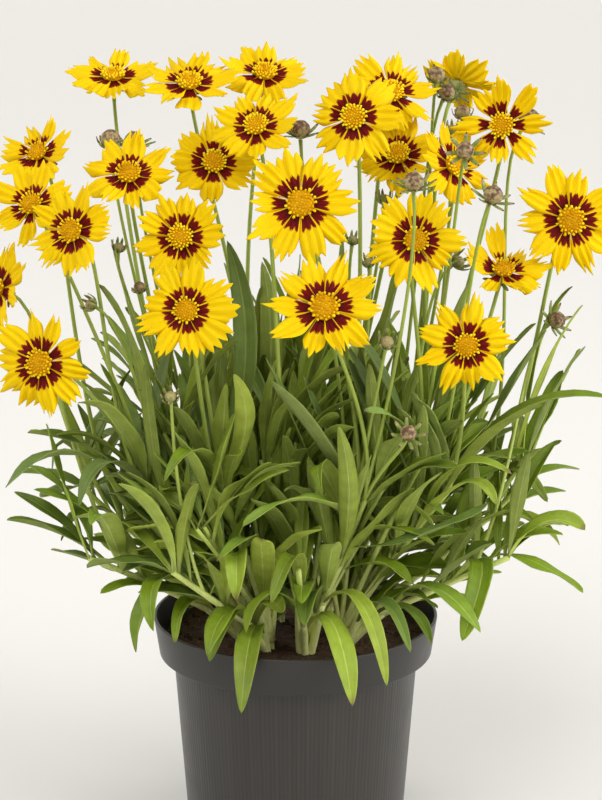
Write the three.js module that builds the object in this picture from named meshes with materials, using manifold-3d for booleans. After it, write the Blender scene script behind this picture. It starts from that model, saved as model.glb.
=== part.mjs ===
// A coreopsis in bloom in its nursery pot: the pot, its soil, eight leafy shoots that fork at the soil,
// and twenty-five blooms, each with its ray florets and its disc.
// Millimetres and degrees, +Z up, the origin at the centre of the pot's underside, the front along -Y.
import * as THREE from "three";
import { mergeVertices } from "three/addons/utils/BufferGeometryUtils.js";
import Module from "manifold-3d";

const wasm = await Module();
wasm.setup();

// ---- Driving dimensions ----

const FIT_GAP = 0.3; // between pieces that touch

const POT = {
  height: 135,
  rimRadius: 85,
  collarHeight: 23,
  collarFootRadius: 81.5,
  shoulderRadius: 73.3,
  footRadius: 64.5,
  wall: 1.8,
  sides: 30,
  drains: 6,
  drainRadius: 5,
  drainRing: 48,
};

const SOIL = {
  surface: 119.5,
  crumb: 1.2,
  sides: 24,
  holeRadius: 3.9,
  holeFloor: 105,
};

const STEM = {
  stubTop: 126,
  forkHeight: 124.5,
  baseRadius: 3,
  limbRadius: 2.5,
  tipRadius: 1.7,
  stalkRadius: 1.15,
  budStalkRadius: 0.95,
  stalkSteps: 4,
};

// Where each shoot stands in the soil, x and y.
const SHOOT_BASES = [
  [-14, -20],
  [-27, -4],
  [-22, 16],
  [-8, 28],
  [14, 26],
  [28, 10],
  [27, -10],
  [6, -24],
];

// Each shoot's limbs, as curves from the fork towards a bend and up to a tip. The digit is the shoot.
const LIMBS = {
  "1a": { bend: [-24, -36, 175], tip: [-46, -56, 232] },
  "1b": { bend: [-40, -54, 155], tip: [-70, -78, 186] },
  "2a": { bend: [-50, -22, 175], tip: [-92, -46, 232] },
  "2b": { bend: [-68, -22, 155], tip: [-120, -46, 184] },
  "3a": { bend: [-40, 16, 175], tip: [-72, 12, 236] },
  "3b": { bend: [-76, 18, 155], tip: [-128, 4, 214] },
  "4a": { bend: [-12, 38, 175], tip: [-24, 42, 240] },
  "4b": { bend: [-40, 66, 155], tip: [-66, 72, 218] },
  "5a": { bend: [22, 36, 175], tip: [36, 40, 242] },
  "5b": { bend: [46, 62, 155], tip: [72, 70, 220] },
  "6a": { bend: [46, 16, 175], tip: [78, 20, 236] },
  "6b": { bend: [84, 16, 155], tip: [134, 2, 214] },
  "7a": { bend: [50, -28, 170], tip: [88, -50, 226] },
  "7b": { bend: [66, -26, 152], tip: [124, -50, 186] },
  "8a": { bend: [22, -44, 170], tip: [40, -66, 226] },
  "8b": { bend: [4, -56, 152], tip: [2, -80, 188] },
  "8c": { bend: [0, -32, 180], tip: [-8, -42, 246] },
};

// Blooms: limb, where on it the stalk starts (0 to 1), centre, turn to the right of the front,
// tilt above the horizon, radius, number of ray florets, and how far their tips rise, as a share of it.
const BLOOMS = [
  ["3a", 1.0, [-108, 62, 448], 0, 72, 28, 9, 0.1],
  ["4a", 0.9, [-62, 40, 448], -5, 62, 29, 9, 0.08],
  ["4a", 1.0, [-18, 60, 450], 5, 62, 27, 9, 0.1],
  ["3b", 0.75, [-147, -15, 417], -30, 48, 24, 8, 0.2],
  ["2a", 0.8, [-148, -57, 396], -20, 38, 25, 9, 0.12],
  ["2a", 1.0, [-123, -92, 389], -28, 22, 27, 9, 0.08],
  ["3a", 0.85, [-94, -45, 411], 0, 50, 27, 9, 0.1],
  ["4b", 0.8, [-47, -15, 412], 8, 32, 27, 8, 0.15],
  ["8c", 1.0, [-22, -37, 437], -10, 45, 26, 9, 0.08],
  ["8a", 0.7, [33, -45, 444], -10, 20, 28, 8, 0.05],
  ["5a", 1.0, [55, 10, 448], 10, 42, 28, 9, 0.06],
  ["1a", 0.85, [-64, -70, 381], -5, 16, 27, 9, 0.08],
  ["8a", 0.85, [3, -85, 403], 0, 22, 33, 10, 0.06],
  ["1a", 1.0, [-60, -105, 347], -5, 20, 27, 9, 0.08],
  ["8a", 1.0, [16, -120, 352], 0, 36, 33, 10, 0.08],
  ["2a", 0.9, [-142, -90, 313], -25, 12, 31, 10, 0.05],
  ["2b", 0.8, [-170, -35, 342], -50, 20, 28, 9, 0.08],
  ["5a", 0.85, [59, -5, 414], -10, 50, 28, 9, 0.1],
  ["6a", 0.85, [90, -15, 410], 48, 30, 28, 9, 0.08],
  ["6a", 1.0, [119, -5, 432], -12, 14, 28, 8, 0.22],
  ["5b", 0.9, [96, 55, 445], 150, 35, 24, 8, 0.15],
  ["7a", 0.7, [67, -70, 379], 12, 18, 28, 9, 0.08],
  ["7a", 0.85, [118, -45, 355], 15, 58, 25, 8, 0.3],
  ["7a", 1.0, [95, -100, 326], 0, 12, 27, 9, 0.08],
  ["6b", 0.8, [156, -40, 384], 8, 12, 32, 10, 0.06],
].map(([limb, at, centre, turn, tilt, radius, rays, dish], i) => ({
  limb, at, centre, turn, tilt, radius, rays, dish, number: i + 1,
}));

// Buds and spent heads: form, limb, where on it the stalk starts, centre, turn, tilt and radius.
const HEADS = [
  ["bud", "5b", 0.8, [82, 20, 457], 10, 60, 5],
  ["bud", "5b", 0.6, [88, 25, 446], 30, 50, 5],
  ["bud", "6a", 0.7, [97, 15, 436], 0, 80, 4.5],
  ["bud", "3a", 0.95, [-107, 10, 421], 0, 80, 6],
  ["seed", "4b", 0.9, [-94, 20, 418], 0, 80, 6],
  ["seed", "8a", 0.6, [3, -30, 434], 0, 85, 6],
  ["seed", "8a", 0.9, [65, -100, 418], 0, 75, 6],
  ["seed", "7a", 0.6, [95, -60, 428], 0, 30, 5.5],
  ["seed", "7a", 0.8, [109, -92, 409], 40, 60, 6],
  ["seed", "6b", 0.7, [136, 16, 432], 60, 50, 6],
  ["cup", "5a", 0.7, [51, -10, 390], 0, 85, 4],
  ["cup", "5a", 0.6, [33, -20, 368], 20, 70, 3.5],
  ["cup", "8a", 0.5, [42, -30, 357], -20, 70, 3.5],
  ["cup", "3a", 0.6, [-101, -30, 366], 20, 60, 3.5],
  ["cup", "2a", 0.7, [-115, -70, 342], -60, 30, 4],
  ["bud", "3a", 0.7, [-90, -20, 340], -20, 70, 3.5],
  ["cup", "6a", 0.9, [92, 30, 423], 0, 80, 4],
  ["cup", "1b", 0.7, [-69, -110, 299], 0, 40, 4],
  ["cup", "8a", 0.75, [51, -105, 329], 10, 50, 4.5],
  ["seed", "8a", 0.95, [63, -110, 278], 10, 40, 5],
  ["seed", "7b", 0.8, [152, -10, 318], 50, 30, 5.5],
  ["cup", "7a", 0.5, [94, -20, 355], 60, 30, 4.5],
].map(([form, limb, at, centre, turn, tilt, radius]) => ({ form, limb, at, centre, turn, tilt, radius }));

// The leaves that show most: limb, where on it, the point that the leaf arches towards, its tip,
// its width, and how far it rolls over on the way.
const SHOWN_LEAVES = [
  ["2a", 0.95, [-134, -70, 275], [-165, -75, 236], 12, 10],
  ["2a", 0.85, [-116, -75, 279], [-125, -95, 231], 14, 10],
  ["2b", 0.7, [-107, -60, 221], [-127, -75, 218], 13, 20],
  ["2b", 0.8, [-111, -75, 240], [-115, -95, 223], 15, -20],
  ["2b", 0.35, [-89, -70, 203], [-82, -88, 154], 14, 20],
  ["1b", 0.25, [-40, -70, 176], [-51, -98, 143], 15, 20],
  ["1b", 0.1, [-26, -72, 170], [-31, -108, 112], 14, 0],
  ["8b", 0.2, [23, -74, 184], [33, -110, 117], 14, 10],
  ["8a", 0.3, [40, -78, 194], [53, -104, 127], 10, 10],
  ["7b", 0.1, [52, -62, 184], [66, -98, 146], 9, 10],
  ["7b", 0.2, [67, -52, 172], [78, -90, 147], 8, 10],
  ["7b", 0.35, [78, -60, 192], [106, -90, 154], 12, 10],
  ["7b", 0.7, [121, -60, 214], [94, -84, 146], 15, 40],
  ["7b", 0.85, [119, -40, 200], [168, -50, 165], 9, 20],
  ["7a", 1.0, [111, -60, 295], [174, -60, 286], 11, 10],
  ["7a", 0.9, [105, -80, 271], [138, -90, 291], 12, -20],
  ["7a", 0.8, [93, -80, 271], [127, -90, 251], 9, 20],
  ["7a", 0.7, [98, -90, 268], [110, -105, 236], 11, 20],
  ["8a", 0.7, [77, -90, 206], [107, -100, 236], 10, 30],
  ["7b", 0.5, [83, -70, 182], [103, -90, 206], 12, 30],
  ["8a", 0.85, [8, -110, 254], [-31, -110, 226], 10, 10],
  ["1a", 0.75, [-26, -80, 248], [3, -100, 258], 10, 0],
  ["1a", 0.9, [-53, -100, 289], [-73, -110, 250], 13, 10],
  ["8a", 0.8, [3, -100, 283], [13, -115, 243], 14, 40],
  ["8b", 0.7, [3, -90, 227], [-14, -112, 179], 12, 10],
  ["1b", 0.5, [-31, -80, 230], [-34, -95, 175], 14, 20],
  ["1a", 0.95, [-17, -80, 277], [-35, -100, 310], 12, 20],
  ["8a", 0.95, [14, -90, 268], [-13, -110, 310], 12, 20],
  ["1a", 1.0, [-14, -50, 310], [-39, -40, 372], 14, 20],
  ["4a", 0.8, [-9, 10, 307], [-20, 20, 346], 13, 10],
  ["4a", 0.95, [3, 20, 305], [0, 30, 348], 12, 10],
  ["5a", 0.9, [29, 20, 317], [33, 30, 359], 12, 10],
  ["5a", 1.0, [53, 10, 307], [62, 10, 348], 13, 10],
  ["6a", 0.9, [79, 10, 307], [94, 15, 339], 13, 10],
  ["6b", 1.0, [134, 0, 310], [160, 0, 335], 7, 10],
  ["6b", 0.9, [140, -10, 300], [163, -20, 332], 8, 10],
  ["6b", 0.95, [146, -10, 288], [162, -20, 307], 8, 10],
  ["7a", 0.95, [124, -40, 284], [140, -50, 322], 8, 10],
  ["2a", 0.93, [-84, -68, 308], [-114, -64, 353], 9, 10],
  ["2a", 0.9, [-94, -70, 292], [-119, -80, 292], 13, 10],
  ["2a", 0.8, [-100, -60, 266], [-133, -60, 262], 13, 10],
  ["3a", 0.8, [-96, -8, 306], [-103, 0, 364], 10, 10],
  ["6b", 0.8, [132, 0, 255], [155, -20, 212], 9, 30],
  ["7b", 1.0, [141, -50, 221], [167, -60, 206], 12, 30],
  ["6b", 0.6, [132, -10, 221], [156, -20, 184], 9, 20],
  ["3b", 0.9, [-139, 0, 267], [-145, 0, 224], 10, 20],
  ["3b", 0.7, [-121, -10, 221], [-139, -20, 187], 10, 20],
  ["1a", 0.6, [-20, -80, 218], [-45, -100, 201], 12, 20],
  ["7a", 0.6, [59, -90, 233], [81, -110, 257], 10, 20],
  ["8a", 0.6, [31, -90, 245], [20, -100, 283], 11, 20],
].map(([limb, at, over, tip, width, roll]) => ({ limb, at, over, tip, width, roll }));

// The other leaves follow a rule: round each limb by the golden angle, longest and widest low down.
const FILLER = {
  onTall: 6, // leaves on a limb that rises above tallLimb
  onLow: 4,
  tallLimb: 225,
  attempts: 16,
  goldenAngle: 137.5,
  lowest: { at: 0.2, wander: 60, length: 98, width: 15, startRise: [45, 75], endRise: [-25, 30] },
  highest: { at: 0.98, wander: 165, length: 80, width: 11.5, startRise: [62, 86], endRise: [5, 68] },
  roll: 25,
  reachX: [-186, 176],
  reachY: 130,
  reachZ: 335,
};

// How much room things keep from each other while the plant is grown.
const ROOM = {
  stem: 3.4,
  stalk: 1.5,
  leaf: 2.7,
  bloom: 5.6,
  calyx: 8,
  besideOwn: 0.7, // share of that room between two things on one shoot
  rootLength: 11, // the first part of a leaf or stalk, which may touch its own shoot
  leafStep: 6,
  stalkStep: 4,
  rimClear: 4.5,
};

// A leaf or stalk in the way of another is bent aside, further at each try, in a widening spiral.
const BEND = { tries: 60, step: 2.3 };

// ---- Numbers and curves ----

const vector = (point) => new THREE.Vector3(...point);
const radians = THREE.MathUtils.degToRad;
const mix = (low, high, share) => low + (high - low) * share;

// A repeatable row of draws between 0 and 1.
function draws(seed) {
  const modulus = 2147483647;
  let state = (seed * 7919 + 1013) % modulus;
  const draw = () => {
    state = (state * 48271) % modulus;
    return state / modulus;
  };
  draw();
  draw();
  return draw;
}

function spiralStep(turn) {
  const angle = radians(FILLER.goldenAngle * turn);
  const distance = BEND.step * Math.sqrt(turn);
  return new THREE.Vector3(Math.cos(angle), Math.sin(angle), 0).multiplyScalar(distance);
}

const shootOf = (limb) => Number(limb[0]);

function limbCurve(limb) {
  const [x, y] = SHOOT_BASES[shootOf(limb) - 1];
  const { bend, tip } = LIMBS[limb];
  return new THREE.QuadraticBezierCurve3(new THREE.Vector3(x, y, STEM.forkHeight), vector(bend), vector(tip));
}

// The turn that takes +Z to the way a bloom or head faces.
function facing({ turn, tilt }) {
  return new THREE.Euler(radians(90 - tilt), 0, radians(turn), "ZXY");
}

function placing(head) {
  const quaternion = new THREE.Quaternion().setFromEuler(facing(head));
  return new THREE.Matrix4().compose(vector(head.centre), quaternion, new THREE.Vector3(1, 1, 1));
}

const along = (head) => new THREE.Vector3(0, 0, 1).applyEuler(facing(head));

// A stalk leaves its limb half along it and half upright, and meets its head square from behind.
function stalkCurve(head, sink, bow) {
  const limb = limbCurve(head.limb);
  const start = limb.getPoint(head.at);
  const end = vector(head.centre).addScaledVector(along(head), -sink);
  const distance = start.distanceTo(end);
  const leaving = limb.getTangent(head.at).multiplyScalar(0.5).add(new THREE.Vector3(0, 0, 0.5));
  const low = start.clone().addScaledVector(leaving, distance * 0.4).add(bow);
  const high = end.clone().addScaledVector(along(head), -Math.max(16, distance * 0.16)).addScaledVector(bow, 0.6);
  return new THREE.CubicBezierCurve3(start, low, high, end);
}

function leafCurve(leaf, bow) {
  const start = limbCurve(leaf.limb).getPoint(leaf.at);
  const over = vector(leaf.over).add(bow);
  const tip = vector(leaf.tip).addScaledVector(bow, 0.7);
  return new THREE.QuadraticBezierCurve3(start, over, tip);
}

// The way across a blade and the way its upper face looks, at one point of its curve.
function bladeFrame(curve, roll, share) {
  const chord = curve.v2.clone().sub(curve.v0);
  const outward = new THREE.Vector3(curve.v2.x, curve.v2.y, 0).multiplyScalar(0.02);
  const level = new THREE.Vector3(0, 0, 1).cross(chord.add(outward));
  const tangent = curve.getTangent(share);
  const across = level.addScaledVector(tangent, -level.dot(tangent)).normalize();
  across.applyAxisAngle(tangent, radians(roll) * share);
  return { across, upward: tangent.clone().cross(across) };
}

// ---- Closed surfaces ----

function closedGeometry(points, faces) {
  const positions = new Float32Array(points.flatMap((point) => point.toArray()));
  const geometry = new THREE.BufferGeometry();
  geometry.setAttribute("position", new THREE.BufferAttribute(positions, 3));
  geometry.setIndex(faces);
  return geometry;
}

// A closed skin over a row of rings. Seen from ahead the rings run anticlockwise, a ring of one point
// is a tip, and between rings that differ in number the faces fan out. The diagonals mirror each other
// across a blade, so that its two faces bend alike.
function skin(rings) {
  const faces = [];
  let first = 0;
  for (let i = 0; i + 1 < rings.length; i++) {
    const [here, next] = [rings[i].length, rings[i + 1].length];
    const sides = Math.max(here, next);
    const from = (k) => first + (Math.floor((k * here) / sides) % here);
    const to = (k) => first + here + (Math.floor((k * next) / sides) % next);
    for (let k = 0; k < sides; k++) {
      const [a, b, c, d] = [from(k), from(k + 1), to(k), to(k + 1)];
      const split = k % 2 ? [[a, b, c], [b, d, c]] : [[a, b, d], [a, d, c]];
      faces.push(...split.filter((corners) => new Set(corners).size === 3).flat());
    }
    first += here;
  }
  for (let k = 1; k + 1 < rings[0].length; k++) faces.push(0, k + 1, k);
  for (let k = 1; k + 1 < rings.at(-1).length; k++) faces.push(first, first + k, first + k + 1);
  return closedGeometry(rings.flat(), faces);
}

// A ring round the local Z axis. A star's odd points have their own radius and height.
function ring(sides, radius, height, pointRadius = radius, pointHeight = height) {
  return Array.from({ length: sides }, (_, k) => {
    const angle = (2 * Math.PI * k) / sides;
    const [r, z] = k % 2 ? [pointRadius, pointHeight] : [radius, height];
    return new THREE.Vector3(r * Math.cos(angle), r * Math.sin(angle), z);
  });
}

const tipAt = (height) => [new THREE.Vector3(0, 0, height)];

// Rings along a curve, its radius changing evenly from start to end.
function rodRings(curve, sides, steps, startRadius, endRadius) {
  const { tangents, normals, binormals } = curve.computeFrenetFrames(steps);
  return tangents.map((tangent, i) => {
    const frame = new THREE.Matrix4().makeBasis(normals[i], binormals[i], tangent);
    frame.setPosition(curve.getPointAt(i / steps));
    const radius = mix(startRadius, endRadius, i / steps);
    return ring(sides, radius, 0).map((point) => point.applyMatrix4(frame));
  });
}

function toSolid(geometry) {
  const bare = geometry.clone();
  bare.deleteAttribute("normal");
  bare.deleteAttribute("uv");
  const merged = mergeVertices(bare);
  return new wasm.Manifold(
    new wasm.Mesh({
      numProp: 3,
      vertProperties: merged.attributes.position.array,
      triVerts: new Uint32Array(merged.index.array),
    }),
  );
}

function toGeometry(solid) {
  const { vertProperties, triVerts } = solid.getMesh();
  const geometry = new THREE.BufferGeometry();
  geometry.setAttribute("position", new THREE.BufferAttribute(vertProperties, 3));
  geometry.setIndex(new THREE.BufferAttribute(triVerts, 1));
  return geometry;
}

// ---- Pot and soil ----

const collarFoot = POT.height - POT.collarHeight;
const innerSlope = (radius) => radius - POT.wall;

function potGeometry() {
  const profile = [
    [0, 0],
    [POT.footRadius, 0],
    [POT.shoulderRadius, collarFoot],
    [POT.collarFootRadius, collarFoot],
    [POT.rimRadius, POT.height],
    [innerSlope(POT.rimRadius), POT.height],
    [innerSlope(POT.collarFootRadius), collarFoot + POT.wall],
    [innerSlope(POT.shoulderRadius), collarFoot + POT.wall],
    [innerSlope(POT.footRadius), POT.wall],
    [0, POT.wall],
  ].map(([r, z]) => new THREE.Vector2(r, z));
  const shell = new THREE.LatheGeometry(profile, POT.sides).rotateX(Math.PI / 2);
  let pot = toSolid(shell);
  for (let i = 0; i < POT.drains; i++) {
    const angle = (2 * Math.PI * (i + 0.5)) / POT.drains;
    const drain = new THREE.CylinderGeometry(POT.drainRadius, POT.drainRadius, 4 * POT.wall, 6)
      .rotateX(Math.PI / 2)
      .translate(POT.drainRing * Math.cos(angle), POT.drainRing * Math.sin(angle), 0);
    pot = pot.subtract(toSolid(drain));
  }
  return toGeometry(pot);
}

// The soil's surface is crumbly: each ring of it rises and falls by its own draw.
function soilGeometry() {
  const draw = draws(11);
  const inside = (radius) => (radius - POT.wall) * Math.cos(Math.PI / POT.sides) - 2 * FIT_GAP;
  const floor = POT.wall + FIT_GAP;
  const ledge = collarFoot + POT.wall + FIT_GAP;
  const topRadius = inside(mix(POT.collarFootRadius, POT.rimRadius, 0.28));
  const crumbled = (radius) =>
    ring(SOIL.sides, radius, 0).map((point) => point.setZ(SOIL.surface + SOIL.crumb * (2 * draw() - 1)));
  const rings = [
    ring(SOIL.sides, inside(POT.footRadius), floor),
    ring(SOIL.sides, inside(POT.shoulderRadius), ledge),
    ring(SOIL.sides, inside(POT.collarFootRadius), ledge),
    crumbled(topRadius),
    crumbled(topRadius * 0.6),
    tipAt(SOIL.surface),
  ];
  let soil = toSolid(skin(rings));
  for (const [x, y] of SHOOT_BASES) {
    const depth = 2 * (SOIL.surface - SOIL.holeFloor);
    const hole = new THREE.CylinderGeometry(SOIL.holeRadius, SOIL.holeRadius, depth, 6)
      .rotateX(Math.PI / 2)
      .translate(x, y, SOIL.holeFloor + depth / 2);
    soil = soil.subtract(toSolid(hole));
  }
  return toGeometry(soil);
}

// ---- Flowers ----

// Ray florets as one thin plate: each floret widens from its notch and ends in three teeth. Its spine
// is raised, its edges are fine, and the florets lie in two layers, high and low.
function raysGeometry({ radius, rays, dish, number }) {
  const draw = draws(100 + number);
  const pitch = (2 * Math.PI) / rays;
  const half = { centre: 1, root: 0.8, spine: 0.55 };
  const points = [];
  const faces = [];
  const add = (share, angle, height, thickness = 0) => {
    const r = share * radius;
    const z = height + dish * radius * share * share;
    const index = points.length;
    points.push(new THREE.Vector3(r * Math.cos(angle), r * Math.sin(angle), z + thickness));
    if (thickness) points.push(new THREE.Vector3(r * Math.cos(angle), r * Math.sin(angle), z - thickness));
    return { top: index, bottom: thickness ? index + 1 : index };
  };
  const face = (a, b, c) => {
    faces.push(a.top, b.top, c.top);
    faces.push(a.bottom, c.bottom, b.bottom);
  };
  const centre = add(0, 0, 0, half.centre);
  const notches = Array.from({ length: rays }, (_, j) => add(0.3, (j - 0.5) * pitch, 0));
  for (let j = 0; j < rays; j++) {
    const middle = (j + 0.08 * (draw() - 0.5)) * pitch;
    const length = mix(0.9, 1, draw());
    const lift = (j % 2 ? -1 : 1) * mix(0.8, 2, draw());
    const [from, to] = [notches[j], notches[(j + 1) % rays]];
    const rim = [
      [0.91 * length, -0.44],
      [0.82 * length, -0.2],
      [length, -0.03],
      [0.84 * length, 0.17],
      [0.93 * length, 0.42],
    ].map(([share, across]) => add(share, middle + across * pitch, lift * share));
    const root = add(0.3, middle, 0, half.root);
    const spine = add(0.62, middle, lift * 0.62 + 0.6, half.spine);
    face(centre, from, root);
    face(centre, root, to);
    face(from, rim[0], spine);
    face(from, spine, root);
    for (let k = 0; k + 1 < rim.length; k++) face(rim[k], rim[k + 1], spine);
    face(rim.at(-1), to, spine);
    face(spine, to, root);
  }
  return closedGeometry(points, faces);
}

// The disc is a low dome with a sunken middle, its florets standing as staggered bumps.
function discGeometry({ radius, dish }) {
  const share = 0.27;
  const r = share * radius;
  const seat = 1 + FIT_GAP + dish * radius * share * share;
  const florets = 8;
  return skin([
    ring(florets, r, seat),
    ring(florets, 1.02 * r, seat + 1.6, 0.86 * r, seat + 2.6),
    ring(florets, 0.5 * r, seat + 3.4, 0.62 * r, seat + 2.6),
    tipAt(seat + 2.8),
  ]);
}

// What a stalk ends in, as rings round its axis, measured from the middle of the bloom or head.
// A calyx lies under a bloom, its eight narrow sepals spread. A bud is round, a cup is a small one still
// held in its sepals, and a seed head is a spent dome on spread sepals.
const STALK_ENDS = {
  calyx: () => [ring(16, 5, -3.6, 11, -3), tipAt(-1 - FIT_GAP)],
  bud: (r) => [ring(8, 0.85 * r, -0.35 * r), ring(8, 0.95 * r, 0.3 * r, 0.8 * r, 0.45 * r), tipAt(0.95 * r)],
  cup: (r) => [ring(10, 0.8 * r, 0.1 * r, 1.25 * r, 1.1 * r), tipAt(0.7 * r)],
  seed: (r) => [ring(12, 0.8 * r, 0, 1.7 * r, 0.35 * r), ring(12, 0.8 * r, 0.5 * r), tipAt(0.95 * r)],
};

// ---- Growing the plant ----

// What has grown so far: for each thing the node it belongs to and the room that its points take.
const grown = [];

const takes = (point, room, root = false) => ({ x: point.x, y: point.y, z: point.z, room, root });

function settle(node, points) {
  const sphere = new THREE.Sphere().setFromPoints(points.map(({ x, y, z }) => new THREE.Vector3(x, y, z)));
  grown.push({ node, points, centre: sphere.center, reach: sphere.radius + ROOM.bloom });
}

function isClear(node, points) {
  for (const thing of grown) {
    const own = thing.node === node;
    const share = own ? ROOM.besideOwn : 1;
    for (const p of points) {
      if (own && p.root) continue;
      const far = thing.reach + p.room;
      if (thing.centre.distanceToSquared(p) > far * far) continue;
      for (const q of thing.points) {
        if (own && q.root) continue;
        const room = (p.room + q.room) * share;
        const [dx, dy, dz] = [p.x - q.x, p.y - q.y, p.z - q.z];
        if (dx * dx + dy * dy + dz * dz < room * room) return false;
      }
    }
  }
  return true;
}

// Whether points stay off the soil and off the pot's rim, inside or out.
function isOverPot(points) {
  return points.every(({ x, y, z, room }) => {
    const r = Math.hypot(x, y);
    if (z > POT.height + ROOM.rimClear) return true;
    if (r > POT.rimRadius + ROOM.rimClear) return true;
    return r < POT.rimRadius - POT.wall - ROOM.rimClear && z > SOIL.surface + SOIL.crumb + 0.6 * room;
  });
}

function stalkPoints(curve, room) {
  const length = curve.getLength();
  const count = Math.ceil(length / ROOM.stalkStep);
  return Array.from({ length: count + 1 }, (_, i) =>
    takes(curve.getPoint(i / count), room, (i / count) * length < ROOM.rootLength),
  );
}

// Half width of a leaf along its length, as a share: a narrow foot, widest past the middle, a blunt point.
const LEAF_SHAPE = [
  [0, 0.2],
  [0.28, 0.7],
  [0.6, 1],
  [0.87, 0.76],
];

function leafHalfWidth(share) {
  const shape = [...LEAF_SHAPE, [1, 0]];
  const next = Math.max(1, shape.findIndex(([at]) => at >= share));
  const [[at0, w0], [at1, w1]] = [shape[next - 1], shape[next]];
  return mix(w0, w1, (share - at0) / (at1 - at0)) / 2;
}

const LEAF = { thickness: 1.3, fold: 0.12 };

function leafPoints(curve, leaf) {
  const length = curve.getLength();
  const count = Math.ceil(length / ROOM.leafStep);
  return Array.from({ length: count + 1 }, (_, i) => {
    const share = i / count;
    const { across, upward } = bladeFrame(curve, leaf.roll, share);
    const half = leaf.width * leafHalfWidth(share);
    return [-0.8, 0, 0.8].map((side) => {
      const point = curve
        .getPoint(share)
        .addScaledVector(across, side * half)
        .addScaledVector(upward, Math.abs(side) * half * LEAF.fold);
      return takes(point, ROOM.leaf, share * length < ROOM.rootLength);
    });
  }).flat();
}

function leafGeometry(curve, leaf) {
  const rings = LEAF_SHAPE.map(([share]) => {
    const { across, upward } = bladeFrame(curve, leaf.roll, share);
    const half = leaf.width * leafHalfWidth(share);
    const centre = curve.getPoint(share);
    const at = (side, height) => centre.clone().addScaledVector(across, side).addScaledVector(upward, height);
    return [at(half, half * LEAF.fold), at(-half, half * LEAF.fold), at(0, -LEAF.thickness)];
  });
  return skin([...rings, [curve.getPoint(1)]]);
}

// Solids of each shoot, by its number.
const shootSolids = SHOOT_BASES.map(() => []);

// A bloom's room is a plate of rings round its middle, cupped as its florets are.
function bloomPoints({ radius, dish }) {
  return [0, 1, 2, 3].flatMap((step) => {
    const share = step / 3;
    return ring(Math.max(1, 6 * step), 0.98 * radius * share, 1 + dish * radius * share ** 2);
  });
}

function growBlooms() {
  for (const bloom of BLOOMS) {
    const place = placing(bloom);
    const plate = bloomPoints(bloom).map((point) => takes(point.applyMatrix4(place), ROOM.bloom));
    settle("bloom_" + bloom.number, plate);
  }
}

function growLimbs() {
  SHOOT_BASES.forEach(([x, y], i) => {
    const foot = SOIL.holeFloor + FIT_GAP;
    const stub = new THREE.LineCurve3(new THREE.Vector3(x, y, foot), new THREE.Vector3(x, y, STEM.stubTop));
    shootSolids[i].push(toSolid(skin(rodRings(stub, 5, 1, STEM.baseRadius, STEM.baseRadius))));
  });
  for (const limb of Object.keys(LIMBS)) {
    const curve = limbCurve(limb);
    shootSolids[shootOf(limb) - 1].push(toSolid(skin(rodRings(curve, 4, 3, STEM.limbRadius, STEM.tipRadius))));
    const points = stalkPoints(curve, ROOM.stem).map((point) => ({ ...point, root: true }));
    settle(shootOf(limb), points);
  }
}

// Blooms and heads stand on stalks, bent aside where something else is in the way.
function growStalk(head, { form, under, radius }) {
  const shoot = shootOf(head.limb);
  for (let turn = 0; turn < BEND.tries; turn++) {
    const curve = stalkCurve(head, under, spiralStep(turn));
    const points = stalkPoints(curve, ROOM.stalk);
    const reach = ROOM.bloom + 2 * under;
    const below = points.filter((point) => vector(head.centre).distanceTo(point) > reach);
    if (!isClear(shoot, below)) continue;
    settle(shoot, points);
    const { tangents, normals, binormals } = curve.computeFrenetFrames(STEM.stalkSteps);
    const frame = new THREE.Matrix4().makeBasis(normals.at(-1), binormals.at(-1), tangents.at(-1));
    frame.setPosition(vector(head.centre));
    const end = STALK_ENDS[form](head.radius).map((rings) => rings.map((point) => point.applyMatrix4(frame)));
    const rings = rodRings(curve, 3, STEM.stalkSteps, radius * 1.2, radius);
    shootSolids[shoot - 1].push(toSolid(skin([...rings, ...end])));
    return;
  }
  throw new Error("no clear way for the stalk to " + head.centre);
}

function growHeads() {
  for (const bloom of BLOOMS) {
    const cone = vector(bloom.centre).addScaledVector(along(bloom), -5);
    settle(shootOf(bloom.limb), [takes(cone, ROOM.calyx, true)]);
  }
  for (const head of HEADS) {
    settle(shootOf(head.limb), [takes(vector(head.centre), 1.6 * head.radius, true)]);
  }
  for (const bloom of BLOOMS) growStalk(bloom, { form: "calyx", under: 8, radius: STEM.stalkRadius });
  for (const head of HEADS) {
    growStalk(head, { form: head.form, under: 0.95 * head.radius, radius: STEM.budStalkRadius });
  }
}

function growLeaf(leaf, tries) {
  const shoot = shootOf(leaf.limb);
  for (let turn = 0; turn < tries; turn++) {
    const curve = leafCurve(leaf, spiralStep(turn));
    const points = leafPoints(curve, leaf);
    const open = points.filter((point) => !point.root);
    if (!isOverPot(open) || !isClear(shoot, points)) continue;
    settle(shoot, points);
    shootSolids[shoot - 1].push(toSolid(leafGeometry(curve, leaf)));
    return true;
  }
  return false;
}

const countOn = (limb) => (LIMBS[limb].tip[2] > FILLER.tallLimb ? FILLER.onTall : FILLER.onLow);

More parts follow.
